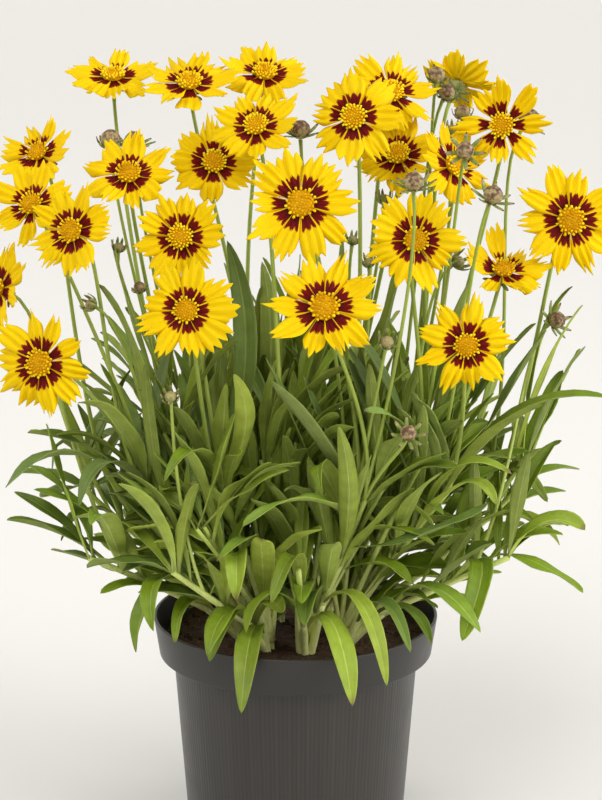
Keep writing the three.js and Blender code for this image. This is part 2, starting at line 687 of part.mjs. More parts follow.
function fillerLeaf(limb, index, seed) {
  const draw = draws(seed);
  const height = index / (countOn(limb) - 1);
  const rule = (name) => mix(FILLER.lowest[name], FILLER.highest[name], height);
  const rise = (name) => {
    const [low, high] = [0, 1].map((end) => mix(FILLER.lowest[name][end], FILLER.highest[name][end], height));
    return radians(mix(low, high, draw()));
  };
  const start = limbCurve(limb).getPoint(rule("at"));
  const heading = Math.atan2(start.y, start.x) + radians(rule("wander")) * (2 * draw() - 1);
  const length = rule("length") * mix(0.75, 1.1, draw());
  const onward = (angle) =>
    new THREE.Vector3(Math.cos(heading) * Math.cos(angle), Math.sin(heading) * Math.cos(angle), Math.sin(angle));
  const over = start.clone().addScaledVector(onward(rise("startRise")), length * 0.5);
  const tip = over.clone().addScaledVector(onward(rise("endRise")), length * 0.55);
  const width = rule("width") * mix(0.85, 1.15, draw());
  const roll = FILLER.roll * (2 * draw() - 1);
  return { limb, at: rule("at"), over: over.toArray(), tip: tip.toArray(), width, roll };
}

function isWithinReach({ tip: [x, y, z] }) {
  const [low, high] = FILLER.reachX;
  const middle = (low + high) / 2;
  const spread = Math.hypot((x - middle) / (high - middle), y / FILLER.reachY);
  return spread < 1 && z < FILLER.reachZ;
}

function growLeaves() {
  for (const leaf of SHOWN_LEAVES) {
    if (!growLeaf(leaf, BEND.tries)) throw new Error("no clear way for the leaf to " + leaf.tip);
  }
  Object.keys(LIMBS).forEach((limb, order) => {
    for (let i = 0; i < countOn(limb); i++) {
      for (let attempt = 0; attempt < FILLER.attempts; attempt++) {
        const leaf = fillerLeaf(limb, i, 1000 + 200 * order + 20 * i + attempt);
        if (isWithinReach(leaf) && growLeaf(leaf, 1)) break;
      }
    }
  });
}

growBlooms();
growLimbs();
growHeads();
growLeaves();

// ---- The object ----

const finishes = {
  pot: new THREE.MeshStandardMaterial({ color: 0x4a4641, roughness: 0.5 }),
  soil: new THREE.MeshStandardMaterial({ color: 0x2a1c14, roughness: 1 }),
  green: new THREE.MeshStandardMaterial({ color: 0x5f8030, roughness: 0.65 }),
  rays: new THREE.MeshStandardMaterial({ color: 0xffd900, roughness: 0.6 }),
  disc: new THREE.MeshStandardMaterial({ color: 0xe08a00, roughness: 0.9 }),
};

const plant = new THREE.Group();

function addPiece(name, geometry, finish, parent = plant) {
  const piece = new THREE.Mesh(geometry, finish);
  piece.name = name;
  parent.add(piece);
}

addPiece("pot", potGeometry(), finishes.pot);
addPiece("soil", soilGeometry(), finishes.soil);
shootSolids.forEach((solids, i) => {
  addPiece("shoot_" + (i + 1), toGeometry(wasm.Manifold.union(solids)), finishes.green);
});
for (const bloom of BLOOMS) {
  const flower = new THREE.Group();
  flower.position.set(...bloom.centre);
  flower.rotation.copy(facing(bloom));
  const name = "bloom_" + String(bloom.number).padStart(2, "0");
  addPiece(name + "_rays", raysGeometry(bloom), finishes.rays, flower);
  addPiece(name + "_disc", discGeometry(bloom), finishes.disc, flower);
  plant.add(flower);
}

export default plant;
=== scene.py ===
"""A coreopsis in bloom in its nursery pot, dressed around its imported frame.

Lengths are in millimetres and angles in degrees, with +Z up and the front along -Y, until a piece is
finished and its mesh is scaled to metres. The plant is grown by a rule: things are placed in order,
each keeps clear of what has grown before it, and what is in the way is bent aside.
"""

from __future__ import annotations

import logging
import math
from dataclasses import dataclass, field
from enum import Enum
from functools import partial
from typing import Callable, Iterable, Sequence

import bmesh
import bpy
import numpy as np
from bmesh.types import BMEdge, BMesh, BMLayerItem, BMVert
from bpy.types import Material, Node, NodeSocket, NodeTree, Object
from mathutils import Matrix, Vector, noise

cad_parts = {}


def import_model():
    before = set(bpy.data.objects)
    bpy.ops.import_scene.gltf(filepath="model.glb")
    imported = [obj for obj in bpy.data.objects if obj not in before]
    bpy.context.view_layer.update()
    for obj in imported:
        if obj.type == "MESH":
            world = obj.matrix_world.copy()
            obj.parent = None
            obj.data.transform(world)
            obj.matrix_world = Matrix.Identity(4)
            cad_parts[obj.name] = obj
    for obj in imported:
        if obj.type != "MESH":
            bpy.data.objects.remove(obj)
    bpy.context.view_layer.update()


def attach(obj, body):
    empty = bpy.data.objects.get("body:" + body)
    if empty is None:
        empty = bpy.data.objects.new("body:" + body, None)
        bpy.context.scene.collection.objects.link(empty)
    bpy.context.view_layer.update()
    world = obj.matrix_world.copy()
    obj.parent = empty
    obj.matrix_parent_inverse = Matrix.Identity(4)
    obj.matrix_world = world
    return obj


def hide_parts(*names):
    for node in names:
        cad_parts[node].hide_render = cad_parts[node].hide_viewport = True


LOG = logging.getLogger("coreopsis")
METRES = 0.001
BODY = "root"
Array = np.ndarray
Pair = tuple[float, float]
Point = tuple[float, float, float]
Sheet = tuple[Array, Array, Array]


# ---- The plant's plan ----


@dataclass(frozen=True)
class LimbPlan:
    """A limb of a shoot, as a curve from the fork towards a bend and up to a tip."""

    bend: Point
    tip: Point


@dataclass(frozen=True)
class BloomPlan:
    """A bloom: its limb, where on it the stalk starts, and the flower's place, pose and form."""

    limb: str
    at: float
    centre: Point
    turn: float
    tilt: float
    radius: float
    rays: int
    dish: float


class HeadForm(Enum):
    """What a stalk without an open flower ends in."""

    BUD = "bud"
    CUP = "cup"
    SEED = "seed"


BUD, CUP, SEED = HeadForm


@dataclass(frozen=True)
class HeadPlan:
    """A bud or a spent head on its stalk."""

    form: HeadForm
    limb: str
    at: float
    centre: Point
    turn: float
    tilt: float
    radius: float


@dataclass(frozen=True)
class LeafPlan:
    """A leaf: where it leaves its limb, the point it arches towards, its tip, width and roll."""

    limb: str
    at: float
    over: Point
    tip: Point
    width: float
    roll: float


def planned(kind: type, *rows: tuple) -> list:
    """Plans of one kind, from rows of their values."""
    return [kind(*row) for row in rows]


SHOOT_BASES = ((-14, -20), (-27, -4), (-22, 16), (-8, 28), (14, 26), (28, 10), (27, -10), (6, -24))

LIMBS = {
    name: LimbPlan(*row)
    for name, *row in (
        ("1a", (-24, -36, 175), (-46, -56, 232)),
        ("1b", (-40, -54, 155), (-70, -78, 186)),
        ("2a", (-50, -22, 175), (-92, -46, 232)),
        ("2b", (-68, -22, 155), (-120, -46, 184)),
        ("3a", (-40, 16, 175), (-72, 12, 236)),
        ("3b", (-76, 18, 155), (-128, 4, 214)),
        ("4a", (-12, 38, 175), (-24, 42, 240)),
        ("4b", (-40, 66, 155), (-66, 72, 218)),
        ("5a", (22, 36, 175), (36, 40, 242)),
        ("5b", (46, 62, 155), (72, 70, 220)),
        ("6a", (46, 16, 175), (78, 20, 236)),
        ("6b", (84, 16, 155), (134, 2, 214)),
        ("7a", (50, -28, 170), (88, -50, 226)),
        ("7b", (66, -26, 152), (124, -50, 186)),
        ("8a", (22, -44, 170), (40, -66, 226)),
        ("8b", (4, -56, 152), (2, -80, 188)),
        ("8c", (0, -32, 180), (-8, -42, 246)),
    )
}

BLOOMS = planned(
    BloomPlan,
    ("3a", 1.0, (-108, 62, 448), 0, 72, 28, 9, 0.1),
    ("4a", 0.9, (-62, 40, 448), -5, 62, 29, 9, 0.08),
    ("4a", 1.0, (-18, 60, 450), 5, 62, 27, 9, 0.1),
    ("3b", 0.75, (-147, -15, 417), -30, 48, 24, 8, 0.2),
    ("2a", 0.8, (-148, -57, 396), -20, 38, 25, 9, 0.12),
    ("2a", 1.0, (-123, -92, 389), -28, 22, 27, 9, 0.08),
    ("3a", 0.85, (-94, -45, 411), 0, 50, 27, 9, 0.1),
    ("4b", 0.8, (-47, -15, 412), 8, 32, 27, 8, 0.15),
    ("8c", 1.0, (-22, -37, 437), -10, 45, 26, 9, 0.08),
    ("8a", 0.7, (33, -45, 444), -10, 20, 28, 8, 0.05),
    ("5a", 1.0, (55, 10, 448), 10, 42, 28, 9, 0.06),
    ("1a", 0.85, (-64, -70, 381), -5, 16, 27, 9, 0.08),
    ("8a", 0.85, (3, -85, 403), 0, 22, 33, 10, 0.06),
    ("1a", 1.0, (-60, -105, 347), -5, 20, 27, 9, 0.08),
    ("8a", 1.0, (16, -120, 352), 0, 36, 33, 10, 0.08),
    ("2a", 0.9, (-142, -90, 313), -25, 12, 31, 10, 0.05),
    ("2b", 0.8, (-170, -35, 342), -50, 20, 28, 9, 0.08),
    ("5a", 0.85, (59, -5, 414), -10, 50, 28, 9, 0.1),
    ("6a", 0.85, (90, -15, 410), 48, 30, 28, 9, 0.08),
    ("6a", 1.0, (119, -5, 432), -12, 14, 28, 8, 0.22),
    ("5b", 0.9, (96, 55, 445), 150, 35, 24, 8, 0.15),
    ("7a", 0.7, (67, -70, 379), 12, 18, 28, 9, 0.08),
    ("7a", 0.85, (118, -45, 355), 15, 58, 25, 8, 0.3),
    ("7a", 1.0, (95, -100, 326), 0, 12, 27, 9, 0.08),
    ("6b", 0.8, (156, -40, 384), 8, 12, 32, 10, 0.06),
)

HEADS = planned(
    HeadPlan,
    (BUD, "5b", 0.8, (82, 20, 457), 10, 60, 5),
    (BUD, "5b", 0.6, (88, 25, 446), 30, 50, 5),
    (BUD, "6a", 0.7, (97, 15, 436), 0, 80, 4.5),
    (BUD, "3a", 0.95, (-107, 10, 421), 0, 80, 6),
    (SEED, "4b", 0.9, (-94, 20, 418), 0, 80, 6),
    (SEED, "8a", 0.6, (3, -30, 434), 0, 85, 6),
    (SEED, "8a", 0.9, (65, -100, 418), 0, 75, 6),
    (SEED, "7a", 0.6, (95, -60, 428), 0, 30, 5.5),
    (SEED, "7a", 0.8, (109, -92, 409), 40, 60, 6),
    (SEED, "6b", 0.7, (136, 16, 432), 60, 50, 6),
    (CUP, "5a", 0.7, (51, -10, 390), 0, 85, 4),
    (CUP, "5a", 0.6, (33, -20, 368), 20, 70, 3.5),
    (CUP, "8a", 0.5, (42, -30, 357), -20, 70, 3.5),
    (CUP, "3a", 0.6, (-101, -30, 366), 20, 60, 3.5),
    (CUP, "2a", 0.7, (-115, -70, 342), -60, 30, 4),
    (BUD, "3a", 0.7, (-90, -20, 340), -20, 70, 3.5),
    (CUP, "6a", 0.9, (92, 30, 423), 0, 80, 4),
    (CUP, "1b", 0.7, (-69, -110, 299), 0, 40, 4),
    (CUP, "8a", 0.75, (51, -105, 329), 10, 50, 4.5),
    (SEED, "8a", 0.95, (63, -110, 278), 10, 40, 5),
    (SEED, "7b", 0.8, (152, -10, 318), 50, 30, 5.5),
    (CUP, "7a", 0.5, (94, -20, 355), 60, 30, 4.5),
)

SHOWN_LEAVES = planned(
    LeafPlan,
    ("2a", 0.95, (-134, -70, 275), (-165, -75, 236), 12, 10),
    ("2a", 0.85, (-116, -75, 279), (-125, -95, 231), 14, 10),
    ("2b", 0.7, (-107, -60, 221), (-127, -75, 218), 13, 20),
    ("2b", 0.8, (-111, -75, 240), (-115, -95, 223), 15, -20),
    ("2b", 0.35, (-89, -70, 203), (-82, -88, 154), 14, 20),
    ("1b", 0.25, (-40, -70, 176), (-51, -98, 143), 15, 20),
    ("1b", 0.1, (-26, -72, 170), (-31, -108, 112), 14, 0),
    ("8b", 0.2, (23, -74, 184), (33, -110, 117), 14, 10),
    ("8a", 0.3, (40, -78, 194), (53, -104, 127), 10, 10),
    ("7b", 0.1, (52, -62, 184), (66, -98, 146), 9, 10),
    ("7b", 0.2, (67, -52, 172), (78, -90, 147), 8, 10),
    ("7b", 0.35, (78, -60, 192), (106, -90, 154), 12, 10),
    ("7b", 0.7, (121, -60, 214), (94, -84, 146), 15, 40),
    ("7b", 0.85, (119, -40, 200), (168, -50, 165), 9, 20),
    ("7a", 1.0, (111, -60, 295), (174, -60, 286), 11, 10),
    ("7a", 0.9, (105, -80, 271), (138, -90, 291), 12, -20),
    ("7a", 0.8, (93, -80, 271), (127, -90, 251), 9, 20),
    ("7a", 0.7, (98, -90, 268), (110, -105, 236), 11, 20),
    ("8a", 0.7, (77, -90, 206), (107, -100, 236), 10, 30),
    ("7b", 0.5, (83, -70, 182), (103, -90, 206), 12, 30),
    ("8a", 0.85, (8, -110, 254), (-31, -110, 226), 10, 10),
    ("1a", 0.75, (-26, -80, 248), (3, -100, 258), 10, 0),
    ("1a", 0.9, (-53, -100, 289), (-73, -110, 250), 13, 10),
    ("8a", 0.8, (3, -100, 283), (13, -115, 243), 14, 40),
    ("8b", 0.7, (3, -90, 227), (-14, -112, 179), 12, 10),
    ("1b", 0.5, (-31, -80, 230), (-34, -95, 175), 14, 20),
    ("1a", 0.95, (-17, -80, 277), (-35, -100, 310), 12, 20),
    ("8a", 0.95, (14, -90, 268), (-13, -110, 310), 12, 20),
    ("1a", 1.0, (-14, -50, 310), (-39, -40, 372), 14, 20),
    ("4a", 0.8, (-9, 10, 307), (-20, 20, 346), 13, 10),
    ("4a", 0.95, (3, 20, 305), (0, 30, 348), 12, 10),
    ("5a", 0.9, (29, 20, 317), (33, 30, 359), 12, 10),
    ("5a", 1.0, (53, 10, 307), (62, 10, 348), 13, 10),
    ("6a", 0.9, (79, 10, 307), (94, 15, 339), 13, 10),
    ("6b", 1.0, (134, 0, 310), (160, 0, 335), 7, 10),
    ("6b", 0.9, (140, -10, 300), (163, -20, 332), 8, 10),
    ("6b", 0.95, (146, -10, 288), (162, -20, 307), 8, 10),
    ("7a", 0.95, (124, -40, 284), (140, -50, 322), 8, 10),
    ("2a", 0.93, (-84, -68, 308), (-114, -64, 353), 9, 10),
    ("2a", 0.9, (-94, -70, 292), (-119, -80, 292), 13, 10),
    ("2a", 0.8, (-100, -60, 266), (-133, -60, 262), 13, 10),
    ("3a", 0.8, (-96, -8, 306), (-103, 0, 364), 10, 10),
    ("6b", 0.8, (132, 0, 255), (155, -20, 212), 9, 30),
    ("7b", 1.0, (141, -50, 221), (167, -60, 206), 12, 30),
    ("6b", 0.6, (132, -10, 221), (156, -20, 184), 9, 20),
    ("3b", 0.9, (-139, 0, 267), (-145, 0, 224), 10, 20),
    ("3b", 0.7, (-121, -10, 221), (-139, -20, 187), 10, 20),
    ("1a", 0.6, (-20, -80, 218), (-45, -100, 201), 12, 20),
    ("7a", 0.6, (59, -90, 233), (81, -110, 257), 10, 20),
    ("8a", 0.6, (31, -90, 245), (20, -100, 283), 11, 20),
)

RIM_LEAVES = planned(
    LeafPlan,
    ("2b", 0.45, (-80, -44, 186), (-92, -50, 128), 15, 20),
    ("1b", 0.2, (-46, -58, 176), (-54, -84, 134), 13, -15),
    ("2b", 0.25, (-64, -42, 172), (-72, -62, 138), 12, 25),
    ("8b", 0.45, (-8, -70, 192), (-26, -74, 150), 12, 15),
)


def shoot_of(limb: str) -> int:
    """The number of the shoot that a limb belongs to."""
    return int(limb[0])


# ---- Draws and curves ----


class Draws:
    """A repeatable row of draws between 0 and 1."""

    MODULUS = 2147483647

    def __init__(self, seed: int) -> None:
        """Starts the row and burns its first two draws.

        Args:
            seed: a whole number that picks the row.
        """
        self.state = (seed * 7919 + 1013) % self.MODULUS
        self.next()
        self.next()

    def next(self) -> float:
        """The next draw, between 0 and 1."""
        self.state = (self.state * 48271) % self.MODULUS
        return self.state / self.MODULUS

    def between(self, low: float, high: float) -> float:
        """The next draw, spread between two values."""
        return low + (high - low) * self.next()


def mix(low: float, high: float, share: float) -> float:
    """A value part of the way from low to high."""
    return low + (high - low) * share


def smooth(values: Array, low: float, high: float) -> Array:
    """A soft step that rises from 0 at low to 1 at high."""
    share = np.clip((values - low) / (high - low), 0, 1)
    return share * share * (3 - 2 * share)


def unit(vectors: Array) -> Array:
    """Vectors brought to length one, along the last axis."""
    return vectors / np.linalg.norm(vectors, axis=-1, keepdims=True)


class Bezier:
    """A Bezier curve of three or four control points."""

    LENGTH_STEPS = 200

    def __init__(self, *controls: Iterable[float]) -> None:
        """Keeps the control points, in order along the curve."""
        self.controls = np.array([list(control) for control in controls], float)

    @staticmethod
    def _weights(degree: int, shares: Array) -> Array:
        """Bernstein weights of a degree, one row for each share of the way along."""
        share, powers = np.asarray(shares, float)[:, None], np.arange(degree + 1)
        return [math.comb(degree, k) for k in powers] * share**powers * (1 - share) ** (degree - powers)

    def points(self, shares: Array) -> Array:
        """Points at shares of the way along, one row each."""
        return self._weights(len(self.controls) - 1, shares) @ self.controls

    def tangents(self, shares: Array) -> Array:
        """Unit tangents at shares of the way along, one row each."""
        steps = np.diff(self.controls, axis=0)
        return unit(self._weights(len(steps) - 1, shares) @ steps)

    def point(self, share: float) -> Array:
        """The point at one share of the way along."""
        return self.points(np.array([share]))[0]

    def tangent(self, share: float) -> Array:
        """The unit tangent at one share of the way along."""
        return self.tangents(np.array([share]))[0]

    def _travelled(self) -> Array:
        """How far along the curve each of its short straight steps starts, and the last one ends."""
        points = self.points(np.linspace(0, 1, self.LENGTH_STEPS + 1))
        return np.concatenate([[0], np.cumsum(np.linalg.norm(np.diff(points, axis=0), axis=1))])

    def length(self) -> float:
        """The curve's length."""
        return float(self._travelled()[-1])

    def evenly(self, count: int) -> Array:
        """Shares of the curve whose points lie evenly spaced along it."""
        travelled = self._travelled()
        return np.interp(np.linspace(0, travelled[-1], count), travelled, np.linspace(0, 1, len(travelled)))


def placing(plan: BloomPlan | HeadPlan) -> Matrix:
    """The matrix that takes a flower made round +Z to its place and pose."""
    turn = Matrix.Rotation(math.radians(plan.turn), 4, "Z")
    return Matrix.Translation(plan.centre) @ turn @ Matrix.Rotation(math.radians(90 - plan.tilt), 4, "X")


def facing(plan: BloomPlan | HeadPlan) -> Array:
    """The way that a flower or head looks."""
    return np.array(placing(plan).to_3x3() @ Vector((0, 0, 1)))


def fork_of(shoot: int) -> Point:
    """The place above the soil where a shoot's limbs part."""
    return (*SHOOT_BASES[shoot - 1], STEM.fork_height)


def stalk_curve(head: BloomPlan | HeadPlan, limb: Bezier, sink: float, bow: Array) -> Bezier:
    """A stalk that leaves its limb half along it and half upright, and meets its head from behind.

    Args:
        head: the bloom or head that the stalk carries.
        limb: the curve of the limb that it grows on.
        sink: how far behind the head's centre the stalk ends.
        bow: how far the stalk is bent aside.

    Returns:
        The stalk's curve.
    """
    start = limb.point(head.at)
    along = facing(head)
    end = np.array(head.centre) - sink * along
    distance = float(np.linalg.norm(end - start))
    leaving = 0.5 * limb.tangent(head.at) + np.array((0, 0, 0.5))
    low = start + leaving * distance * STEM.stalk_leave + bow
    high = end - along * max(STEM.least_arrive, distance * STEM.stalk_arrive) + STEM.arrive_bow * bow
    return Bezier(start, low, high, end)


def leaf_curve(leaf: LeafPlan, limb: Bezier, bow: Array) -> Bezier:
    """A leaf's midrib, from its limb's curve, bent aside by bow."""
    start = limb.point(leaf.at)
    return Bezier(start, np.array(leaf.over) + bow, np.array(leaf.tip) + TIP_BOW * bow)


def blade_frames(curve: Bezier, roll: float, shares: Array) -> tuple[Array, Array]:
    """The way across a blade and the way its upper face looks, at points of its midrib.

    Args:
        curve: the midrib.
        roll: how far the blade rolls over on the way to its tip.
        shares: where along the midrib.

    Returns:
        Two arrays of unit vectors, one row for each share: across, and upward.
    """
    start, _, tip = curve.controls
    chord = tip - start + OUTWARD_LEAN * np.array((tip[0], tip[1], 0))
    level = np.cross((0, 0, 1), chord)
    tangents = curve.tangents(shares)
    across = unit(level - tangents * (tangents @ level)[:, None])
    angle = (math.radians(roll) * np.asarray(shares))[:, None]
    across = across * np.cos(angle) + np.cross(tangents, across) * np.sin(angle)
    return across, np.cross(tangents, across)


# ---- Growing the plant ----


@dataclass(frozen=True)
class StemSizes:
    """Sizes of the shoots' stems, and how a stalk leaves its limb and arrives at its flower."""

    stub_floor: float = 105.3
    stub_top: float = 126
    fork_height: float = 124.5
    base_radius: float = 3
    limb_radius: float = 2.5
    tip_radius: float = 1.7
    stalk_radius: float = 1.15
    bud_stalk_radius: float = 0.95
    stalk_leave: float = 0.4
    stalk_arrive: float = 0.16
    least_arrive: float = 16
    arrive_bow: float = 0.6


@dataclass(frozen=True)
class PotSizes:
    """Sizes of the nursery pot."""

    height: float = 135
    rim_radius: float = 85
    collar_height: float = 23
    collar_foot_radius: float = 81.5
    shoulder_radius: float = 73.3
    foot_radius: float = 64.5
    wall: float = 1.8
    drains: int = 6
    drain_radius: float = 5
    drain_ring: float = 48

    @property
    def collar_foot(self) -> float:
        """The height of the collar's lower edge."""
        return self.height - self.collar_height


@dataclass(frozen=True)
class SoilSizes:
    """Sizes of the soil in the pot."""

    surface: float = 119.5
    crumb: float = 1.2


@dataclass(frozen=True)
class Rooms:
    """How much room things keep from each other while the plant grows."""

    stem: float = 3.4
    stalk: float = 1.5
    leaf: float = 2.7
    bloom: float = 5.6
    calyx: float = 8
    beside_own: float = 0.7
    root_length: float = 11
    leaf_step: float = 6
    stalk_step: float = 4
    rim_clear: float = 4.5
    soil_clear: float = 0.6
    beside_midrib: float = 0.8


@dataclass(frozen=True)
class FillerEnd:
    """What the leaf rule gives at one end of a limb."""

    at: float
    wander: float
    length: float
    width: float
    start_rise: Pair
    end_rise: Pair


@dataclass(frozen=True)
class LeafRule:
    """Leaves spread along each limb by draws, within the plant's reach.

    A leaf is made of two straight parts that the curve of its midrib follows. No leaf of the rule ends
    in front of the stems below the bare height, within the bare arc to either side of the front.
    """

    on_tall: int
    on_low: int
    first_seed: int
    lowest: FillerEnd
    highest: FillerEnd
    attempts: int = 14
    limb_seeds: int = 400
    ease: float = 0.5
    roll: float = 65
    tall_limb: float = 225
    reach_x: Pair = (-186, 176)
    reach_y: float = 118
    reach_z: float = 335
    least_slope: float = -9
    bare_arc: float = 0
    bare_height: float = 0
    lengths: Pair = (0.75, 1.1)
    widths: Pair = (0.85, 1.15)
    parts: Pair = (0.5, 0.55)


@dataclass(frozen=True)
class SideStemRule:
    """Thinner stems that rise between the limbs and carry more of the leaves."""

    on_shoot: int = 5
    attempts: int = 24
    first_seed: int = 40000
    wander: float = 95
    spread: Pair = (22, 84)
    rise: Pair = (205, 262)
    bulge: float = 0.42
    room: float = 2.2
    ease: float = 0.75


STEM = StemSizes()
POT = PotSizes()
SOIL = SoilSizes()
ROOM = Rooms()
GOLDEN_ANGLE = 137.5
FILLER = LeafRule(
    on_tall=6,
    on_low=4,
    first_seed=1000,
    lowest=FillerEnd(0.2, 60, 98, 15, (45, 75), (-25, 30)),
    highest=FillerEnd(0.98, 165, 80, 11.5, (62, 86), (5, 68)),
    attempts=16,
    limb_seeds=200,
    ease=1.0,
    roll=25,
    reach_y=130,
)
CANOPY = LeafRule(
    on_tall=9,
    on_low=4,
    first_seed=60000,
    lowest=FillerEnd(0.5, 180, 94, 9.6, (45, 82), (-35, 65)),
    highest=FillerEnd(1.0, 180, 88, 8.5, (66, 89), (40, 88)),
    ease=0.45,
    reach_z=345,
)
UNDERGROWTH = LeafRule(
    on_tall=5,
    on_low=4,
    first_seed=90000,
    lowest=FillerEnd(0.05, 180, 62, 8, (50, 82), (-20, 60)),
    highest=FillerEnd(0.95, 165, 74, 9, (45, 84), (-20, 60)),
    least_slope=0.4,
    bare_arc=52,
    bare_height=236,
)
SKIRT = LeafRule(
    on_tall=0,
    on_low=6,
    first_seed=120000,
    lowest=FillerEnd(0.4, 70, 62, 12, (10, 55), (-35, 10)),
    highest=FillerEnd(1.0, 100, 66, 12.5, (5, 60), (-35, 25)),
    roll=25,
    least_slope=0.7,
    bare_arc=52,
    bare_height=235,
)
SIDE_STEMS = SideStemRule()
SLENDER_BLOOMS = {4: 0.92, 5: 0.92, 19: 0.9, 20: 0.74, 23: 0.82}
BEND_TRIES = 60
BEND_STEP = 2.3
TIP_BOW = 0.7
OUTWARD_LEAN = 0.02
LEAF_FOLD = 0.12
SIDE_STEM_SIZE = 0.7
SHARE_WIDTHS = ((0, 0.2), (0.28, 0.7), (0.6, 1), (0.87, 0.76), (1, 0))


def spiral_step(turn: int) -> Array:
    """How far aside a thing is bent at one of its tries, in a widening spiral."""
    angle = math.radians(GOLDEN_ANGLE * turn)
    return BEND_STEP * math.sqrt(turn) * np.array((math.cos(angle), math.sin(angle), 0))


@dataclass
class Room:
    """The points that a thing takes up, with the room round each."""

    places: Array
    rooms: Array
    roots: Array

    def kept(self, mask: Array) -> Room:
        """The same room with only some of its points."""
        return Room(self.places[mask], self.rooms[mask], self.roots[mask])


def takes(places: Array, room: float, roots: Array | bool = False) -> Room:
    """Room of one size round each of several points, whose roots may touch their own shoot."""
    places = np.atleast_2d(places)
    return Room(places, np.full(len(places), float(room)), np.broadcast_to(roots, len(places)).copy())


class Thicket:
    """What has grown so far, and whose it is."""

    CAPACITY = 60000

    def __init__(self) -> None:
        """Starts with nothing grown."""
        self.count = 0
        self.places = np.zeros((self.CAPACITY, 3))
        self.rooms = np.zeros(self.CAPACITY)
        self.roots = np.zeros(self.CAPACITY, bool)
        self.owners = np.zeros(self.CAPACITY, int)

    def settle(self, owner: int, room: Room) -> None:
        """Adds a thing to what has grown.

        Args:
            owner: the shoot or bloom that the thing belongs to.
            room: the room that it takes.
        """
        rows = slice(self.count, self.count + len(room.places))
        self.places[rows] = room.places
        self.rooms[rows] = room.rooms
        self.roots[rows] = room.roots
        self.owners[rows] = owner
        self.count = rows.stop

    def is_clear(self, owner: int, room: Room, ease: float = 1.0) -> bool:
        """Whether a thing would keep clear of all that has grown.

        Args:
            owner: the shoot or bloom that the thing belongs to.
            room: the room that it would take.
            ease: a share of the usual room, for what may stand closer.

        Returns:
            True where nothing is in the way.
        """
        margin = room.rooms.max() + ROOM.bloom + ROOM.calyx
        places = self.places[: self.count]
        low = room.places.min(0) - margin
        high = room.places.max(0) + margin
        near = np.flatnonzero(((places > low) & (places < high)).all(1))
        own = self.owners[near] == owner
        apart = ~(own & self.roots[near])
        near, own = near[apart], own[apart]
        gaps = room.places[:, None] - places[near][None]
        wanted = (room.rooms[:, None] + self.rooms[near][None]) * np.where(own, ROOM.beside_own, 1)[None]
        touching = (gaps**2).sum(2) < (ease * wanted) ** 2
        return not (touching & ~(room.roots[:, None] & own[None])).any()


def is_over_pot(room: Room) -> bool:
    """Whether points stay off the soil and off the pot's rim, inside or out.

    Args:
        room: the points.

    Returns:
        True where all of them do.
    """
    radius = np.hypot(room.places[:, 0], room.places[:, 1])
    height = room.places[:, 2]
    above = height > POT.height + ROOM.rim_clear
    outside = radius > POT.rim_radius + ROOM.rim_clear
    inside = radius < POT.rim_radius - POT.wall - ROOM.rim_clear
    off_soil = height > SOIL.surface + SOIL.crumb + ROOM.soil_clear * room.rooms
    return bool((above | outside | (inside & off_soil)).all())


def stalk_room(curve: Bezier, room: float) -> Room:
    """The room of a stalk or limb, whose first part may touch its own shoot."""
    shares = np.linspace(0, 1, math.ceil(curve.length() / ROOM.stalk_step) + 1)
    return takes(curve.points(shares), room, shares * curve.length() < ROOM.root_length)


def leaf_room(curve: Bezier, leaf: LeafPlan) -> Room:
    """The room of a leaf, as three rows of points along its blade.

    Args:
        curve: its midrib.
        leaf: its plan.

    Returns:
        The room that it takes.
    """
    length = curve.length()
    shares = np.linspace(0, 1, math.ceil(length / ROOM.leaf_step) + 1)
    across, upward = blade_frames(curve, leaf.roll, shares)
    half = leaf.width * np.interp(shares, *zip(*SHARE_WIDTHS))[:, None] / 2
    middle = curve.points(shares)
    sides = (-ROOM.beside_midrib, 0, ROOM.beside_midrib)
    rows = [middle + side * half * across + abs(side) * half * LEAF_FOLD * upward for side in sides]
    roots = np.tile(shares * length < ROOM.root_length, 3)
    return takes(np.concatenate(rows), ROOM.leaf, roots)


@dataclass
class GrownLeaf:
    """A leaf with its settled midrib."""

    curve: Bezier
    plan: LeafPlan
    seed: int


@dataclass
class GrownStalk:
    """A stalk with its settled curve, and what it carries."""

    curve: Bezier
    head: BloomPlan | HeadPlan


@dataclass
class GrownShoot:
    """One shoot: its limbs, side stems, stalks and leaves."""

    number: int
    limbs: list[Bezier] = field(default_factory=list)
    side_stems: list[Bezier] = field(default_factory=list)
    stalks: list[GrownStalk] = field(default_factory=list)
    leaves: list[GrownLeaf] = field(default_factory=list)


